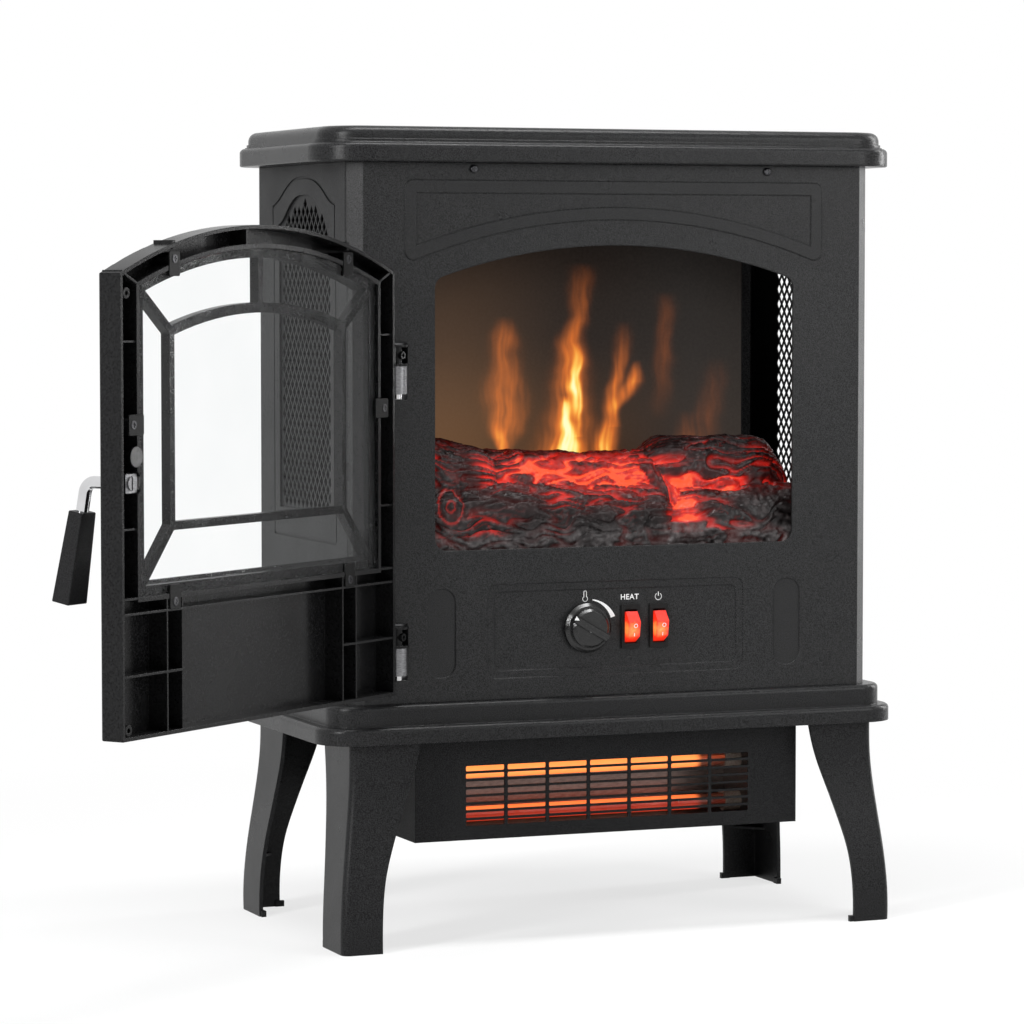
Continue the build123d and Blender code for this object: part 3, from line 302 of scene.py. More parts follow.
def bark(point):
    """Height of the bark in millimetres, how much its groove glows and how ashy it is."""
    number, along, around = nearest_log(point)
    seed = number * 17.3
    sway = noise.noise(Vector((along / 22, around / 22, seed + 5))) * 9
    broad = noise.noise(Vector((along / groove_long, (around + sway) / groove_wide, seed)))
    fine = noise.noise(Vector((along / nick_long, (around + sway) / nick_wide, seed + 40)))
    lump = noise.noise(point / 19)
    crumb = noise.noise(point / 3.4)
    cut = soft_step(ridge(broad, 0.24), 0.15, 0.8)
    nick = soft_step(ridge(fine, 0.16), 0.2, 0.9)
    height = lump_high * lump + crumb_high * crumb - groove_deep * cut - nick_deep * nick
    hot = spot(point, -14, 338, 66, 15) + 0.5 * spot(point, 40, 332, 40, 12)
    hot = 1.15 * hot * (1.0 if number == 1 else 0.7)
    hot += 1.05 * spot(point, 60, 312, 11, 20) + 0.7 * spot(point, 108, 328, 30, 7)
    depth_light = 0.16 if number in front_logs else 0.3
    groove_light = max(cut, 0.55 * nick) * (depth_light + 0.6 * noise.noise(point / 24))
    skin_light = 0.5 + 0.55 * broad + 0.25 * crumb + 0.5 * cut
    glow = max(0.0, groove_light) + hot * max(0.12, skin_light)
    ash = soft_step(ash_line - point.z + 5 * lump, 0, ash_fade)
    knot = math.hypot((point.x - knot_x) / knot_wide, (point.z - knot_z) / knot_high)
    if number == front_logs[0] and knot < 1.6:
        ring = math.cos(knot * 9.0)
        height += 1.2 * ring * soft_step(1.6 - knot, 0, 0.5)
        glow = max(glow * 0.4, 0.35 * soft_step(-ring, 0.2, 0.9))
    if point.z < ash_strip_top and point.y < ash_strip_depth:
        height += ash_rough * noise.noise(point / 2.4)
        glow *= 0.35
    return height, min(1.3, glow), ash


def skin_logs(whole):
    """Raises the bark on the joined logs and keeps its glow and ash on each point."""
    count = len(whole.vertices)
    glow, ash = np.zeros(count), np.zeros(count)
    back = np.array((middle_x, middle_y, 0)) / mm
    normals = [v.normal.copy() for v in whole.vertices]
    for number, vertex in enumerate(whole.vertices):
        point = Vector(np.array(vertex.co) / mm - back)
        height, glow[number], ash[number] = bark(point)
        vertex.co += normals[number] * height * mm
    low, high = log_low + Vector((1, 0.2, 0.0)) * mm, log_high - Vector((1, 0.5, 0.5)) * mm
    for vertex in whole.vertices:
        vertex.co = [min(max(c, a), b) for c, a, b in zip(vertex.co, low, high)]
    for name, values in (("glow", glow), ("ash", ash)):
        layer = whole.attributes.new(name, "FLOAT", "POINT")
        layer.data.foreach_set("value", values)
    for face in whole.polygons:
        face.use_smooth = True


def read_layer(tree, name):
    node = tree.nodes.new("ShaderNodeAttribute")
    node.attribute_name = name
    return node.outputs["Fac"]


log_mesh = joined_logs()
skin_logs(log_mesh)
log_pieces = bpy.data.objects.new("charred_logs", log_mesh)
bpy.context.scene.collection.objects.link(log_pieces)
charred, tree, shader, place = new_finish("charred_bark")
soot = cloud(tree, place, 5 * mm, 5.0)
mixed = tree.nodes.new("ShaderNodeMix")
mixed.data_type = "RGBA"
tree.links.new(read_layer(tree, "ash"), mixed.inputs["Factor"])
dark_bark = blend_colours(tree, soot, ((0.3, (0.003, 0.002, 0.002, 1)), (0.55, (0.012, 0.009, 0.009, 1)),
                                       (0.75, (0.05, 0.042, 0.042, 1))))
pale_ash = blend_colours(tree, soot, ((0.3, (0.014, 0.012, 0.012, 1)), (0.7, (0.11, 0.1, 0.1, 1))))
tree.links.new(dark_bark, mixed.inputs["A"])
tree.links.new(pale_ash, mixed.inputs["B"])
tree.links.new(mixed.outputs["Result"], shader.inputs["Base Color"])
tree.links.new(rescale(tree, soot, 0.28, 0.5), shader.inputs["Roughness"])
ember_light = blend_colours(tree, read_layer(tree, "glow"),
                            ((0.0, (0, 0, 0, 1)), (0.22, (0.07, 0.002, 0.001, 1)),
                             (0.5, (0.4, 0.01, 0.006, 1)), (0.8, (0.8, 0.026, 0.014, 1)),
                             (1.0, (1.0, 0.11, 0.035, 1))))
tree.links.new(ember_light, shader.inputs["Emission Color"])
shader.inputs["Emission Strength"].default_value = 1.0
shader.inputs["Specular IOR Level"].default_value = 0.2
log_mesh.materials.clear()
log_mesh.materials.append(charred)
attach(log_pieces, "cabinet")
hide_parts("log_set")

# Flame screen: a thin smoked sheet, bowed to the rear, on which the lamps and the turning
# spindle throw the picture of flames. The picture is a colour kept on each point of its skin,
# and besides the flames it holds painted light: a warm glow on the left and lower down, a
# grey glow on the right, and a painted shadow of the arch across the top.
screen_low, screen_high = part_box("flame_screen")
screen_thick = 2 * mm
screen_half = (screen_high.x - screen_low.x) / 2
screen_sag = screen_high.y - screen_thick - screen_low.y
screen_step = 1.2 * mm
flames = (
    # each flame: height, middle, half width (millimetres) and strength, from its foot upwards
    ((350, -43, 2.5, 0.8), (361, -45, 6, 0.9), (375, -44, 10, 0.46), (392, -42, 14, 0.4),
     (415, -42, 10, 0.36), (436, -42, 8.5, 0.34), (446, -42, 7, 0.1), (452, -42, 6, 0)),
    ((350, -40, 3, 0.1), (365, -34, 8, 0.2), (380, -28, 7, 0.12), (392, -26, 6, 0)),
    ((344, 9, 11, 1.6), (356, 9.5, 7.5, 1.9), (372, 8, 5, 1.7), (386, 7, 3.6, 1.2), (392, 7, 3, 0)),
    ((372, 17, 4, 0.3), (384, 16.5, 4.5, 1.2), (398, 16, 4.5, 1.45), (412, 16.5, 4, 1.1),
     (424, 17, 3.5, 0.4), (432, 17, 3, 0)),
    ((344, 8, 22, 0.5), (380, 11, 14, 0.5), (405, 12, 11, 0.6), (425, 12, 9, 0.65),
     (440, 14, 7, 0.5), (452, 18, 6, 0.3), (470, 20, 8, 0.18), (492, 21, 8, 0)),
    ((344, 40, 8, 1.2), (360, 40.5, 6.5, 1.0), (375, 44, 5, 0.75), (392, 47, 5, 0.6),
     (410, 51, 5, 0.4), (430, 55, 6, 0.16), (448, 56, 6, 0)),
    ((380, 46, 4, 0.2), (392, 56, 6, 0.55), (402, 63, 5, 0.8), (411, 65, 3.5, 0.4), (418, 66, 3, 0)),
    ((372, 84, 6, 0), (400, 86, 7, 0.07), (430, 88, 6, 0.12), (450, 89, 6, 0.11), (470, 91, 7, 0)),
    ((345, 104, 9, 0.16), (362, 105, 7, 0.1), (380, 106, 7, 0)),
    ((345, 118, 12, 0.05), (375, 122, 9, 0.08), (400, 129, 8, 0.05), (420, 131, 8, 0)),
)
# Painted light on the screen, emitted as its picture: a dim glow, a warm brown glow and a grey glow, and a
# faint glow on its back. The shade numbers place a painted shadow of the arch.
painted_glow_brown = np.array((0.066, 0.032, 0.013))
painted_glow_dark = np.array((0.009, 0.005, 0.003))
painted_glow_grey = np.array((0.024, 0.021, 0.019))
screen_back_glow = (0.02, 0.015, 0.012)
shade_middle, shade_radius, shade_fade = 83, 380, 62
flame_colours = np.array(((0, 0, 0), (0.26, 0.06, 0.008), (0.6, 0.13, 0.012), (0.9, 0.3, 0.03),
                          (1.0, 0.62, 0.1), (1.0, 0.88, 0.28), (1.0, 0.97, 0.55)))
flame_places = (0, 0.28, 0.6, 0.95, 1.3, 1.7, 2.2)


def screen_front(x):
    """Depth of the screen's front face at a distance from its middle."""
    return screen_low.y + screen_sag * (1 - (x / screen_half) ** 2)


def flame_heat(x, z):
    """Strength of all the flames at a place on the screen, in millimetres."""
    x = x + 3.0 * noise.noise(Vector((x / 26, z / 17, 3))) + 1.2 * noise.noise(Vector((x / 7, z / 9, 8)))
    heat = 0.0
    for flame in flames:
        level, middle, half, strength = zip(*flame)
        if not level[0] - 12 < z < level[-1]:
            continue
        across = (x - np.interp(z, level, middle)) / np.interp(z, level, half)
        if abs(across) < 3:
            heat += np.interp(z, level, strength) * math.exp(-abs(across) ** 2.4)
    streak = noise.noise(Vector((x / 2.6, z / 24, 5))) + 0.5 * noise.noise(Vector((x / 7, z / 11, 9)))
    return heat * (0.88 + 0.5 * streak)


def screen_colour(x, z):
    """Glow of the screen at a place on it, in millimetres: the flames over painted light, warm on the left
    and lower down, grey on the right, under a painted shadow of the arch.
    """
    right = soft_step(x, 20, 118)
    left = soft_step(-x, -30, 95)
    low = soft_step(500 - z, 0, 150)
    colour = painted_glow_dark * 1.0
    # Painted light: a warm glow on the left and a grey one on the right, both brighter towards the bottom.
    colour = colour + (painted_glow_brown * (0.45 + 0.9 * low) - colour) * left
    colour = colour + (painted_glow_grey * (0.75 + 0.45 * low) - colour) * right
    colour = colour + painted_glow_brown * 0.5 * soft_step(440 - z, 0, 80) * (1 - right * 0.8)
    # Painted shadow of the arch across the top of the screen.
    shade = soft_step(math.hypot(x / 1.15, z - shade_middle) - shade_radius, 0, shade_fade)
    colour = colour * (1 - 0.72 * shade)
    heat = flame_heat(x, z)
    fire = [np.interp(heat, flame_places, flame_colours[:, c]) for c in range(3)]
    return colour + np.array(fire)


def screen_piece(material):
    """The bowed sheet: a front face of small squares that keep the picture, and its back."""
    columns = round(2 * screen_half / screen_step)
    rows = round((screen_high.z - screen_low.z) / screen_step)
    verts, faces, colours = [], [], []
    for back in (0, 1):
        for r in range(rows + 1):
            z = screen_low.z + (screen_high.z - screen_low.z) * r / rows
            for c in range(columns + 1):
                x = -screen_half + 2 * screen_half * c / columns
                verts.append((middle_x + x, screen_front(x) + back * screen_thick, z))
                colours.append(screen_back_glow if back else screen_colour(x / mm, z / mm))
    wide, layer = columns + 1, (rows + 1) * (columns + 1)
    for r in range(rows):
        for c in range(columns):
            a = r * wide + c
            faces.append((a, a + 1, a + wide + 1, a + wide))
            faces.append((a + layer, a + layer + wide, a + layer + wide + 1, a + layer + 1))
    for c in range(columns):
        top = rows * wide + c
        faces.append((c + 1, c, c + layer, c + layer + 1))
        faces.append((top, top + 1, top + layer + 1, top + layer))
    for r in range(rows):
        left, right = r * wide, r * wide + columns
        faces.append((left, left + wide, left + wide + layer, left + layer))
        faces.append((right + wide, right, right + layer, right + wide + layer))
    piece = new_piece("lit_screen", verts, faces, material, "cabinet")
    picture = piece.data.color_attributes.new("picture", "FLOAT_COLOR", "POINT")
    flat = np.ones((len(verts), 4))
    flat[:, :3] = colours
    picture.data.foreach_set("color", flat.ravel())
    return piece


smoked, tree, shader, place = new_finish("smoked_screen")
haze = cloud(tree, place, 2.2 * mm)
tree.links.new(blend_colours(tree, haze, ((0.3, (0.012, 0.01, 0.009, 1)), (0.7, (0.02, 0.017, 0.015, 1)))),
               shader.inputs["Base Color"])
tree.links.new(rescale(tree, haze, 0.42, 0.5), shader.inputs["Roughness"])
shader.inputs["Specular IOR Level"].default_value = 0.1
picture_node = tree.nodes.new("ShaderNodeAttribute")
picture_node.attribute_name = "picture"
tree.links.new(picture_node.outputs["Color"], shader.inputs["Emission Color"])
shader.inputs["Emission Strength"].default_value = 1.0
lit_screen = screen_piece(smoked)
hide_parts("flame_screen")

# Behind the screen: bright foil flags on a turning spindle, its bearing and motor, and the
# strip of lamps that shines on them. The fan wheel and its motor have the same finishes.
flag_foil = metal("flag_foil", (0.55, 0.55, 0.56, 1), (0.78, 0.78, 0.8, 1), (0.12, 0.24), size=8 * mm)
motor_can = metal("motor_can", (0.2, 0.2, 0.2, 1), (0.3, 0.3, 0.31, 1), (0.35, 0.45))
dark_moulding = grained_black("dark_moulding", (0.012, 0.012, 0.012, 1), (0.02, 0.02, 0.02, 1),
                              0.9 * mm, 0.03 * mm, (0.42, 0.55), 0.4 * mm)
circuit_green = grained_black("circuit_green", (0.006, 0.035, 0.014, 1), (0.012, 0.06, 0.024, 1),
                              2 * mm, 0.02 * mm, (0.3, 0.4), 0.2 * mm)
finish(flag_foil, "flame_spindle", "fan_wheel")
finish(motor_can, "spindle_motor", "fan_motor")
finish(dark_moulding, "spindle_bearing", "terminal_block", "thermal_cutout", "thermostat")
finish(circuit_green, "lamp_strip")

# Controls: a glossy black knob with a bright chamfer and a white pointer, two red rockers lit
# from inside in satin bezels, and the white print on the plate behind them, given a faint
# painted glow.
knob_low, knob_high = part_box("knob")
knob_centre = Vector(((knob_low.x + knob_high.x) / 2, knob_low.y, (knob_low.z + knob_high.z) / 2))
recess_depth = 2.1 * mm
plate_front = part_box("front_panel")[0].y + recess_depth
print_lift = 0.06 * mm
mark_height = knob_centre.z + 21.3 * mm
knob_black = grained_black("knob_black", (0.008, 0.008, 0.008, 1), (0.012, 0.012, 0.012, 1),
                           2.5 * mm, 0.008 * mm, (0.16, 0.24), edge=0.35 * mm, shine=0.42)
bezel_black = grained_black("bezel_black", (0.012, 0.012, 0.012, 1), (0.02, 0.02, 0.02, 1),
                            0.7 * mm, 0.03 * mm, (0.38, 0.46), 0.4 * mm)
finish(knob_black, "knob")
finish(bezel_black, "switch_body_heat", "switch_body_power")

glowing_white_print, tree, shader, place = new_finish("glowing_white_print")
ink = cloud(tree, place, 0.8 * mm)
tree.links.new(blend_colours(tree, ink, ((0.2, (0.6, 0.6, 0.6, 1)), (0.7, (0.82, 0.82, 0.82, 1)))),
               shader.inputs["Base Color"])
tree.links.new(rescale(tree, ink, 0.5, 0.65), shader.inputs["Roughness"])
# A faint white painted glow on the print, which has no lamp behind it.
shader.inputs["Emission Color"].default_value = (1, 1, 1, 1)
shader.inputs["Emission Strength"].default_value = 0.12


def printed(name, outlines, y, body="cabinet"):
    """Flat print facing forwards: each outline is a closed list of points (x, z) in the frame."""
    verts, faces = [], []
    for outline in outlines:
        faces.append(tuple(range(len(verts), len(verts) + len(outline))))
        verts += [(x, y, z) for x, z in outline]
    return new_piece(name, verts, faces, glowing_white_print, body)


def line_print(points, width):
    """Quads along a line of points (x, z), each joint mitred by overlapping."""
    quads = []
    for (x0, z0), (x1, z1) in zip(points, points[1:]):
        run = math.hypot(x1 - x0, z1 - z0)
        ax, az = (x1 - x0) / run * width / 2, (z1 - z0) / run * width / 2
        quads.append([(x0 - ax * 0.6 - az, z0 - az * 0.6 + ax), (x0 - ax * 0.6 + az, z0 - az * 0.6 - ax),
                      (x1 + ax * 0.6 + az, z1 + az * 0.6 - ax), (x1 + ax * 0.6 - az, z1 + az * 0.6 + ax)])
    return quads


def arc_points(x, z, radius, start, end, steps=28):
    """Points round a centre, angles in degrees clockwise from the top."""
    angles = [math.radians(start + (end - start) * n / steps) for n in range(steps + 1)]
    return [(x + radius * math.sin(a), z + radius * math.cos(a)) for a in angles]


def scale_wedge():
    """Curved wedge round the knob that widens towards the hot end."""
    cold, hot, steps, widening = 13, 71, 28, 0.135
    inner = arc_points(knob_centre.x, knob_centre.z, 20.3 * mm, cold, hot, steps)
    outer = arc_points(knob_centre.x, knob_centre.z, 21.0 * mm, cold, hot, steps)
    wide = [(x + (x - knob_centre.x) * widening * n / steps, z + (z - knob_centre.z) * widening * n / steps)
            for n, (x, z) in enumerate(outer)]
    return [[inner[n], inner[n + 1], wide[n + 1], wide[n]] for n in range(steps)]


def thermometer():
    """Outline of a bulb with a stem."""
    x, z = knob_centre.x - 1.2 * mm, knob_centre.z + 22.6 * mm
    bulb_radius, stem_radius, line = 1.9 * mm, 1.05 * mm, 0.55 * mm
    bulb = arc_points(x, z - 1.6 * mm, bulb_radius, 32, 328, 20)
    stem = arc_points(x, z + 3.2 * mm, stem_radius, -90, 90, 10)
    return line_print(bulb + stem + bulb[:1], line)


def power_symbol(x, z):
    """Open ring with an upright stroke in its gap."""
    radius, line = 2.5 * mm, 0.62 * mm
    ring = arc_points(x, z - 0.2 * mm, radius, 38, 322, 24)
    return line_print(ring, line) + line_print([(x, z + 0.3 * mm), (x, z + 3.1 * mm)], line)


def switch_middle(node):
    low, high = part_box(node)
    return (low + high) / 2


printed("heat_scale", scale_wedge(), plate_front - print_lift)
printed("heat_scale_mark", thermometer(), plate_front - print_lift)
power_x = switch_middle("switch_body_power").x
printed("power_mark", power_symbol(power_x, mark_height), plate_front - print_lift)

letters = bpy.data.curves.new("heat_word", "FONT")
letters.body = "HEAT"
letters.align_x = "CENTER"
letters.align_y = "CENTER"
letters.size = 5.6 * mm
letters.space_character = 1.08
letters.offset = 0.08 * mm
letters.extrude = 0
written = bpy.data.objects.new("heat_word_outline", letters)
bpy.context.scene.collection.objects.link(written)
word_mesh = bpy.data.meshes.new_from_object(written.evaluated_get(bpy.context.evaluated_depsgraph_get()))
bpy.data.objects.remove(written)
word_x = switch_middle("switch_body_heat").x - 0.4 * mm
word_place = Vector((word_x, plate_front - print_lift, mark_height))
word_mesh.transform(Matrix.Translation(word_place) @ Matrix.Rotation(math.radians(90), 4, "X"))
heat_word = bpy.data.objects.new("heat_word", word_mesh)
bpy.context.scene.collection.objects.link(heat_word)
word_mesh.materials.clear()
word_mesh.materials.append(glowing_white_print)
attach(heat_word, "cabinet")

pointer_turn = math.radians(-60)
pointer_reach, pointer_half, pointer_long = 16.9 * mm, 1.7 * mm, 3.6 * mm


def knob_spot(along, across):
    """A place on the knob's front at a distance along and across its bar."""
    x = knob_centre.x + along * math.sin(pointer_turn) + across * math.cos(pointer_turn)
    z = knob_centre.z + along * math.cos(pointer_turn) - across * math.sin(pointer_turn)
    return x, z


pointer = [knob_spot(pointer_reach, -pointer_half), knob_spot(pointer_reach - pointer_long, 0),
           knob_spot(pointer_reach, pointer_half)]
printed("knob_pointer", [pointer], knob_low.y - print_lift, "temperature_knob")

rocker_tilt = math.radians(10)
rocker_face = 9.5 * mm
lamp_reach = 15 * mm
lamp_stops = ((0.0, (1.0, 0.62, 0.2, 1)), (0.16, (1.0, 0.3, 0.06, 1)), (0.4, (0.9, 0.03, 0.008, 1)),
              (1.0, (0.32, 0.004, 0.002, 1)))


def lit_red(name, lamp):
    """Red rocker plastic that glows most over the lamp behind it."""
    material, tree, shader, place = new_finish(name)
    away = tree.nodes.new("ShaderNodeVectorMath")
    away.operation = "DISTANCE"
    away.inputs[1].default_value = lamp
    tree.links.new(place, away.inputs[0])
    ripple = cloud(tree, place, 2.4 * mm, 4.0)
    share = tree.nodes.new("ShaderNodeMath")
    share.operation = "MULTIPLY_ADD"
    share.inputs[1].default_value = 1 / lamp_reach
    tree.links.new(away.outputs["Value"], share.inputs[0])
    shift = tree.nodes.new("ShaderNodeMath")
    shift.operation = "MULTIPLY_ADD"
    shift.inputs[1].default_value = 0.34
    shift.inputs[2].default_value = -0.25
    tree.links.new(ripple, shift.inputs[0])
    tree.links.new(shift.outputs["Value"], share.inputs[2])
    tree.links.new(blend_colours(tree, share.outputs["Value"], lamp_stops), shader.inputs["Emission Color"])
    plastic = ((0.3, (0.35, 0.01, 0.006, 1)), (0.7, (0.5, 0.02, 0.01, 1)))
    tree.links.new(blend_colours(tree, ripple, plastic), shader.inputs["Base Color"])
    shader.inputs["Emission Strength"].default_value = 0.9
    tree.links.new(rescale(tree, ripple, 0.12, 0.2), shader.inputs["Roughness"])
    soften_and_grain(tree, shader, ripple, 0.02 * mm, 0.5 * mm, 0.3)
    return material


def rocker_marks(name, body, node):
    """The ring and the bar of a rocker, printed on its sloping front."""
    centre = switch_middle(node)
    pivot = Vector((centre.x, plate_front + 1.0 * mm, knob_centre.z - 0.1 * mm))
    ring = arc_points(0.9 * mm, 2.6 * mm, 1.35 * mm, 0, 360, 20)
    bar = [(0.2 * mm, -3.0 * mm), (0.2 * mm, -5.2 * mm)]
    quads = line_print(ring, 0.5 * mm) + line_print(bar, 0.55 * mm)
    piece = printed(name, quads, -rocker_face - print_lift, body)
    piece.data.transform(Matrix.Translation(pivot) @ Matrix.Rotation(rocker_tilt, 4, "X"))
    return piece


for node, body in (("heat", "heat_rocker"), ("power", "power_rocker")):
    centre = switch_middle(f"rocker_{node}")
    lamp = (centre.x - 1.5 * mm, plate_front - 5 * mm, centre.z - 1.5 * mm)
    finish(lit_red(f"lit_red_{node}", lamp), f"rocker_{node}")
    rocker_marks(f"rocker_marks_{node}", body, f"rocker_{node}")

# Door: one black moulding, smoother than the cabinet, with stiffening ribs on its back. The
# pane behind the window bars is clear, and small black clips hold it.
door_black = grained_black("door_black", (0.004, 0.004, 0.0042, 1), (0.011, 0.011, 0.0114, 1),
                           1.6 * mm, 0.02 * mm, (0.2, 0.28), edge=0.5 * mm, shine=0.14)
clip_black = grained_black("clip_black", (0.01, 0.01, 0.01, 1), (0.018, 0.018, 0.018, 1),
                           1.0 * mm, 0.02 * mm, (0.3, 0.4), 0.5 * mm)
finish(door_black, "door_shell")
finish(clip_black, "glass_clips", "cord_gland")

pane, tree, shader, place = new_finish("clear_pane")
film = cloud(tree, place, 60 * mm)
tree.links.new(blend_colours(tree, film, ((0.3, (0.93, 0.945, 0.945, 1)), (0.7, (0.96, 0.97, 0.97, 1)))),
               shader.inputs["Base Color"])
tree.links.new(rescale(tree, film, 0.0, 0.03), shader.inputs["Roughness"])
shader.inputs["Transmission Weight"].default_value = 1.0
shader.inputs["IOR"].default_value = 1.14
through = tree.nodes.new("ShaderNodeBsdfTransparent")
rays = tree.nodes.new("ShaderNodeLightPath")
either = tree.nodes.new("ShaderNodeMixShader")
tree.links.new(rays.outputs["Is Shadow Ray"], either.inputs["Fac"])
tree.links.new(shader.outputs["BSDF"], either.inputs[1])
tree.links.new(through.outputs["BSDF"], either.inputs[2])
tree.links.new(either.outputs["Shader"], tree.nodes["Material Output"].inputs["Surface"])
finish(pane, "door_glass")

# Round catch magnet pressed into the door's tray, and the handle: a bent chrome rod with a
# black moulded grip of square section, screwed on from inside.
magnet_face = metal("magnet_face", (0.05, 0.05, 0.05, 1), (0.09, 0.09, 0.09, 1), (0.3, 0.4))
chrome = metal("chrome", (0.6, 0.6, 0.61, 1), (0.68, 0.68, 0.69, 1), (0.05, 0.1), size=12 * mm)
grip_black = grained_black("grip_black", (0.01, 0.01, 0.0104, 1), (0.02, 0.02, 0.0206, 1),
                           0.8 * mm, 0.03 * mm, (0.3, 0.38), 0.8 * mm)
finish(magnet_face, "door_magnet")
finish(chrome, "handle_rod")
finish(grip_black, "handle_grip")

# Heater below the base: two quartz tubes with glowing windings in ceramic ends, in front of a
# bright reflector that throws their light out through the slots.
reflector_sheet = metal("reflector_sheet", (0.16, 0.13, 0.115, 1), (0.26, 0.21, 0.19, 1), (0.3, 0.42),
                        (1, 4, 4), 5 * mm)
finish(reflector_sheet, "reflector")

ceramic = grained_black("white_ceramic", (0.3, 0.24, 0.2, 1), (0.4, 0.33, 0.28, 1), 1.2 * mm,
                        0.04 * mm, (0.5, 0.65), 0.4 * mm)
finish(ceramic, *(f"tube_end_{row}_{side}" for row in ("upper", "lower") for side in ("left", "right")))
hot_end, hot_fade = middle_x + 90 * mm, 7 * mm


def glow_length(tree, place):
    """1 along the hot part of a tube, falling to 0 at its right end, and the height in it."""
    split = tree.nodes.new("ShaderNodeSeparateXYZ")
    tree.links.new(place, split.inputs[0])
    fall = tree.nodes.new("ShaderNodeMapRange")
    fall.interpolation_type = "SMOOTHSTEP"
    fall.inputs["From Min"].default_value = hot_end - hot_fade
    fall.inputs["From Max"].default_value = hot_end
    fall.inputs["To Min"].default_value = 1.0
    fall.inputs["To Max"].default_value = 0.0
    tree.links.new(split.outputs["X"], fall.inputs["Value"])
    return fall.outputs["Result"], split.outputs["Z"]


def hot_tube(name, node, colours, strength):
    """Quartz tube filled with the light of its winding, its colour running from low to high."""
    low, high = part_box(node)
    material, tree, shader, place = new_finish(name)
    share, height = glow_length(tree, place)
    level = tree.nodes.new("ShaderNodeMapRange")
    level.inputs["From Min"].default_value = low.z
    level.inputs["From Max"].default_value = high.z
    tree.links.new(height, level.inputs["Value"])
    tree.links.new(blend_colours(tree, level.outputs["Result"], colours), shader.inputs["Emission Color"])
    power = tree.nodes.new("ShaderNodeMath")
    power.operation = "MULTIPLY"
    power.inputs[1].default_value = strength
    tree.links.new(share, power.inputs[0])
    tree.links.new(power.outputs["Value"], shader.inputs["Emission Strength"])
    bands = cloud(tree, place, 20 * mm)
    tree.links.new(blend_colours(tree, bands, ((0.3, (0.4, 0.2, 0.14, 1)), (0.7, (0.55, 0.3, 0.2, 1)))),
                   shader.inputs["Base Color"])
    tree.links.new(rescale(tree, bands, 0.08, 0.14), shader.inputs["Roughness"])
    shader.inputs["Transmission Weight"].default_value = 0.5
    finish(material, node)


def glowing_wire(name, node, cool, warm, strength):
    """Red-hot winding, brighter and duller by turns along its length."""
    material, tree, shader, place = new_finish(name)
    turns = cloud(tree, place, 7 * mm, 3.0)
    tree.links.new(blend_colours(tree, turns, ((0.3, cool), (0.7, warm))), shader.inputs["Emission Color"])
    tree.links.new(rescale(tree, turns, 0.5, 0.6), shader.inputs["Roughness"])
    tree.links.new(blend_colours(tree, turns, ((0.3, (0.1, 0.04, 0.02, 1)), (0.7, (0.2, 0.08, 0.04, 1)))),
                   shader.inputs["Base Color"])
    shader.inputs["Emission Strength"].default_value = strength
    finish(material, node)


hot_tube("hot_quartz_upper", "quartz_tube_upper",
         ((0.0, (0.9, 0.2, 0.04, 1)), (0.3, (1.0, 0.32, 0.08, 1)), (1.0, (1.0, 0.3, 0.07, 1))), 0.95)
hot_tube("hot_quartz_lower", "quartz_tube_lower",
         ((0.0, (0.45, 0.03, 0.01, 1)), (0.45, (0.2, 0.01, 0.004, 1)), (0.7, (0.25, 0.012, 0.005, 1)),
          (0.78, (1.0, 0.22, 0.05, 1)), (1.0, (1.0, 0.18, 0.04, 1))), 0.8)
glowing_wire("hot_winding_upper", "element_upper", (1, 0.2, 0.05, 1), (1, 0.34, 0.1, 1), 2.0)
glowing_wire("hot_winding_lower", "element_lower", (0.6, 0.04, 0.01, 1), (0.8, 0.07, 0.015, 1), 0.7)

# A pale floor that fades into the white background, soft studio lamps, and the camera where
# the photograph was taken from: far off with a long lens, a little to the left.
floor_size = 6.0
plain_radius, white_radius = 0.42, 1.0
floor_whiteness, world_light = 0.72, 0.2
lamp_rows = (
    # name, place from the stove's middle and above the floor, width, height, watts
    ("key_lamp", (-2.1, -1.1, 1.2), 0.3, 1.5, 48),
    ("fill_lamp", (1.6, -2.2, 1.1), 0.7, 1.3, 22),
    ("top_lamp", (0.0, -0.3, 2.1), 1.5, 0.34, 42),
    ("edge_lamp", (2.1, 0.3, 0.9), 0.25, 1.6, 26),
)
camera_offset, camera_height = (-1.15094, -2.74427), 0.48769
camera_azimuth, camera_drop = math.radians(-22.01), math.radians(3.52)
camera_lens, film_width = 139.27, 36


def light_rays(tree):
    """1 for what is seen directly, in a reflection or through glass, 0 for light on surfaces."""
    rays = tree.nodes.new("ShaderNodeLightPath")
    seen = rays.outputs["Is Camera Ray"]
    for other in ("Is Glossy Ray", "Is Transmission Ray"):
        more = tree.nodes.new("ShaderNodeMath")
        more.operation = "MAXIMUM"
        tree.links.new(seen, more.inputs[0])
        tree.links.new(rays.outputs[other], more.inputs[1])
        seen = more.outputs["Value"]
    return seen


pale_floor, tree, shader, place = new_finish("pale_floor")
shader.inputs["Roughness"].default_value = 0.9
shader.inputs["Specular IOR Level"].default_value = 0.0
dust = cloud(tree, place, 0.3)
tree.links.new(blend_colours(tree, dust, ((0.3, (0.79, 0.79, 0.79, 1)), (0.7, (0.81, 0.81, 0.81, 1)))),
               shader.inputs["Base Color"])
white = tree.nodes.new("ShaderNodeEmission")
reach = tree.nodes.new("ShaderNodeVectorMath")
reach.operation = "DISTANCE"
reach.inputs[1].default_value = (middle_x, middle_y, 0)
tree.links.new(place, reach.inputs[0])
fade = tree.nodes.new("ShaderNodeMapRange")
fade.inputs["From Min"].default_value = plain_radius
fade.inputs["From Max"].default_value = white_radius
fade.inputs["To Min"].default_value = floor_whiteness
tree.links.new(reach.outputs["Value"], fade.inputs["Value"])
both = tree.nodes.new("ShaderNodeMath")
both.operation = "MULTIPLY"
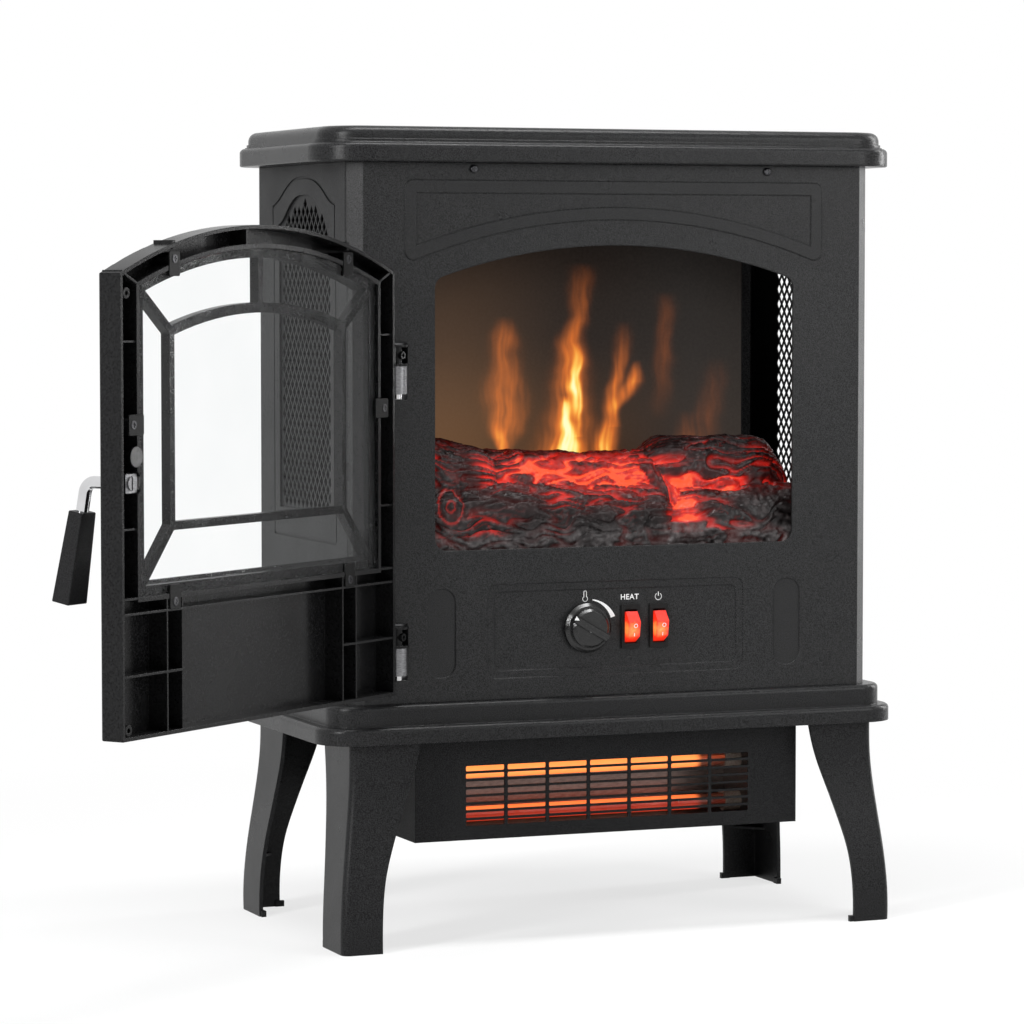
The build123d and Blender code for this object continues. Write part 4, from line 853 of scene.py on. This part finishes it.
tree.links.new(fade.outputs["Result"], both.inputs[0])
tree.links.new(light_rays(tree), both.inputs[1])
floor_mix = tree.nodes.new("ShaderNodeMixShader")
tree.links.new(both.outputs["Value"], floor_mix.inputs["Fac"])
tree.links.new(shader.outputs["BSDF"], floor_mix.inputs[1])
tree.links.new(white.outputs["Emission"], floor_mix.inputs[2])
tree.links.new(floor_mix.outputs["Shader"], tree.nodes["Material Output"].inputs["Surface"])

half = floor_size / 2
floor_mesh = bpy.data.meshes.new("floor")
corners = [(middle_x + a * half, middle_y + b * half, 0) for a, b in ((-1, -1), (1, -1), (1, 1), (-1, 1))]
floor_mesh.from_pydata(corners, [], [(0, 1, 2, 3)])
floor_mesh.materials.append(pale_floor)
floor = bpy.data.objects.new("floor", floor_mesh)
bpy.context.scene.collection.objects.link(floor)

world = bpy.data.worlds.new("studio")
bpy.context.scene.world = world
world.use_nodes = True
tree = world.node_tree
backdrop = tree.nodes["Background"]
backdrop.inputs["Color"].default_value = (1, 1, 1, 1)
level = tree.nodes.new("ShaderNodeMapRange")
level.inputs["To Min"].default_value = world_light
level.inputs["To Max"].default_value = 1.0
tree.links.new(light_rays(tree), level.inputs["Value"])
tree.links.new(level.outputs["Result"], backdrop.inputs["Strength"])


def lamp_panel(name, place, target, wide, high, power):
    """Square soft lamp facing a target."""
    light = bpy.data.lights.new(name, "AREA")
    light.shape = "RECTANGLE"
    light.size, light.size_y = wide, high
    light.energy = power
    lamp = bpy.data.objects.new(name, light)
    bpy.context.scene.collection.objects.link(lamp)
    lamp.location = place
    lamp.rotation_euler = (Vector(target) - Vector(place)).to_track_quat("-Z", "Y").to_euler()


stove_middle = (middle_x, middle_y, 0.3)
for name, (x, y, z), wide, high, power in lamp_rows:
    lamp_panel(name, (middle_x + x, middle_y + y, z), stove_middle, wide, high, power)

camera = bpy.data.objects.new("camera", bpy.data.cameras.new("camera"))
bpy.context.scene.collection.objects.link(camera)
camera.data.lens = camera_lens
camera.data.sensor_width = film_width
camera.data.clip_start, camera.data.clip_end = 0.05, 60
level_reach = math.cos(camera_drop)
ahead = Vector((-math.sin(camera_azimuth) * level_reach, math.cos(camera_azimuth) * level_reach,
                -math.sin(camera_drop)))
camera.rotation_mode = "QUATERNION"
camera.rotation_quaternion = ahead.to_track_quat("-Z", "Y")
camera.location = (middle_x + camera_offset[0], middle_y + camera_offset[1], camera_height)
bpy.context.scene.camera = camera
bpy.context.scene.view_settings.view_transform = "Standard"
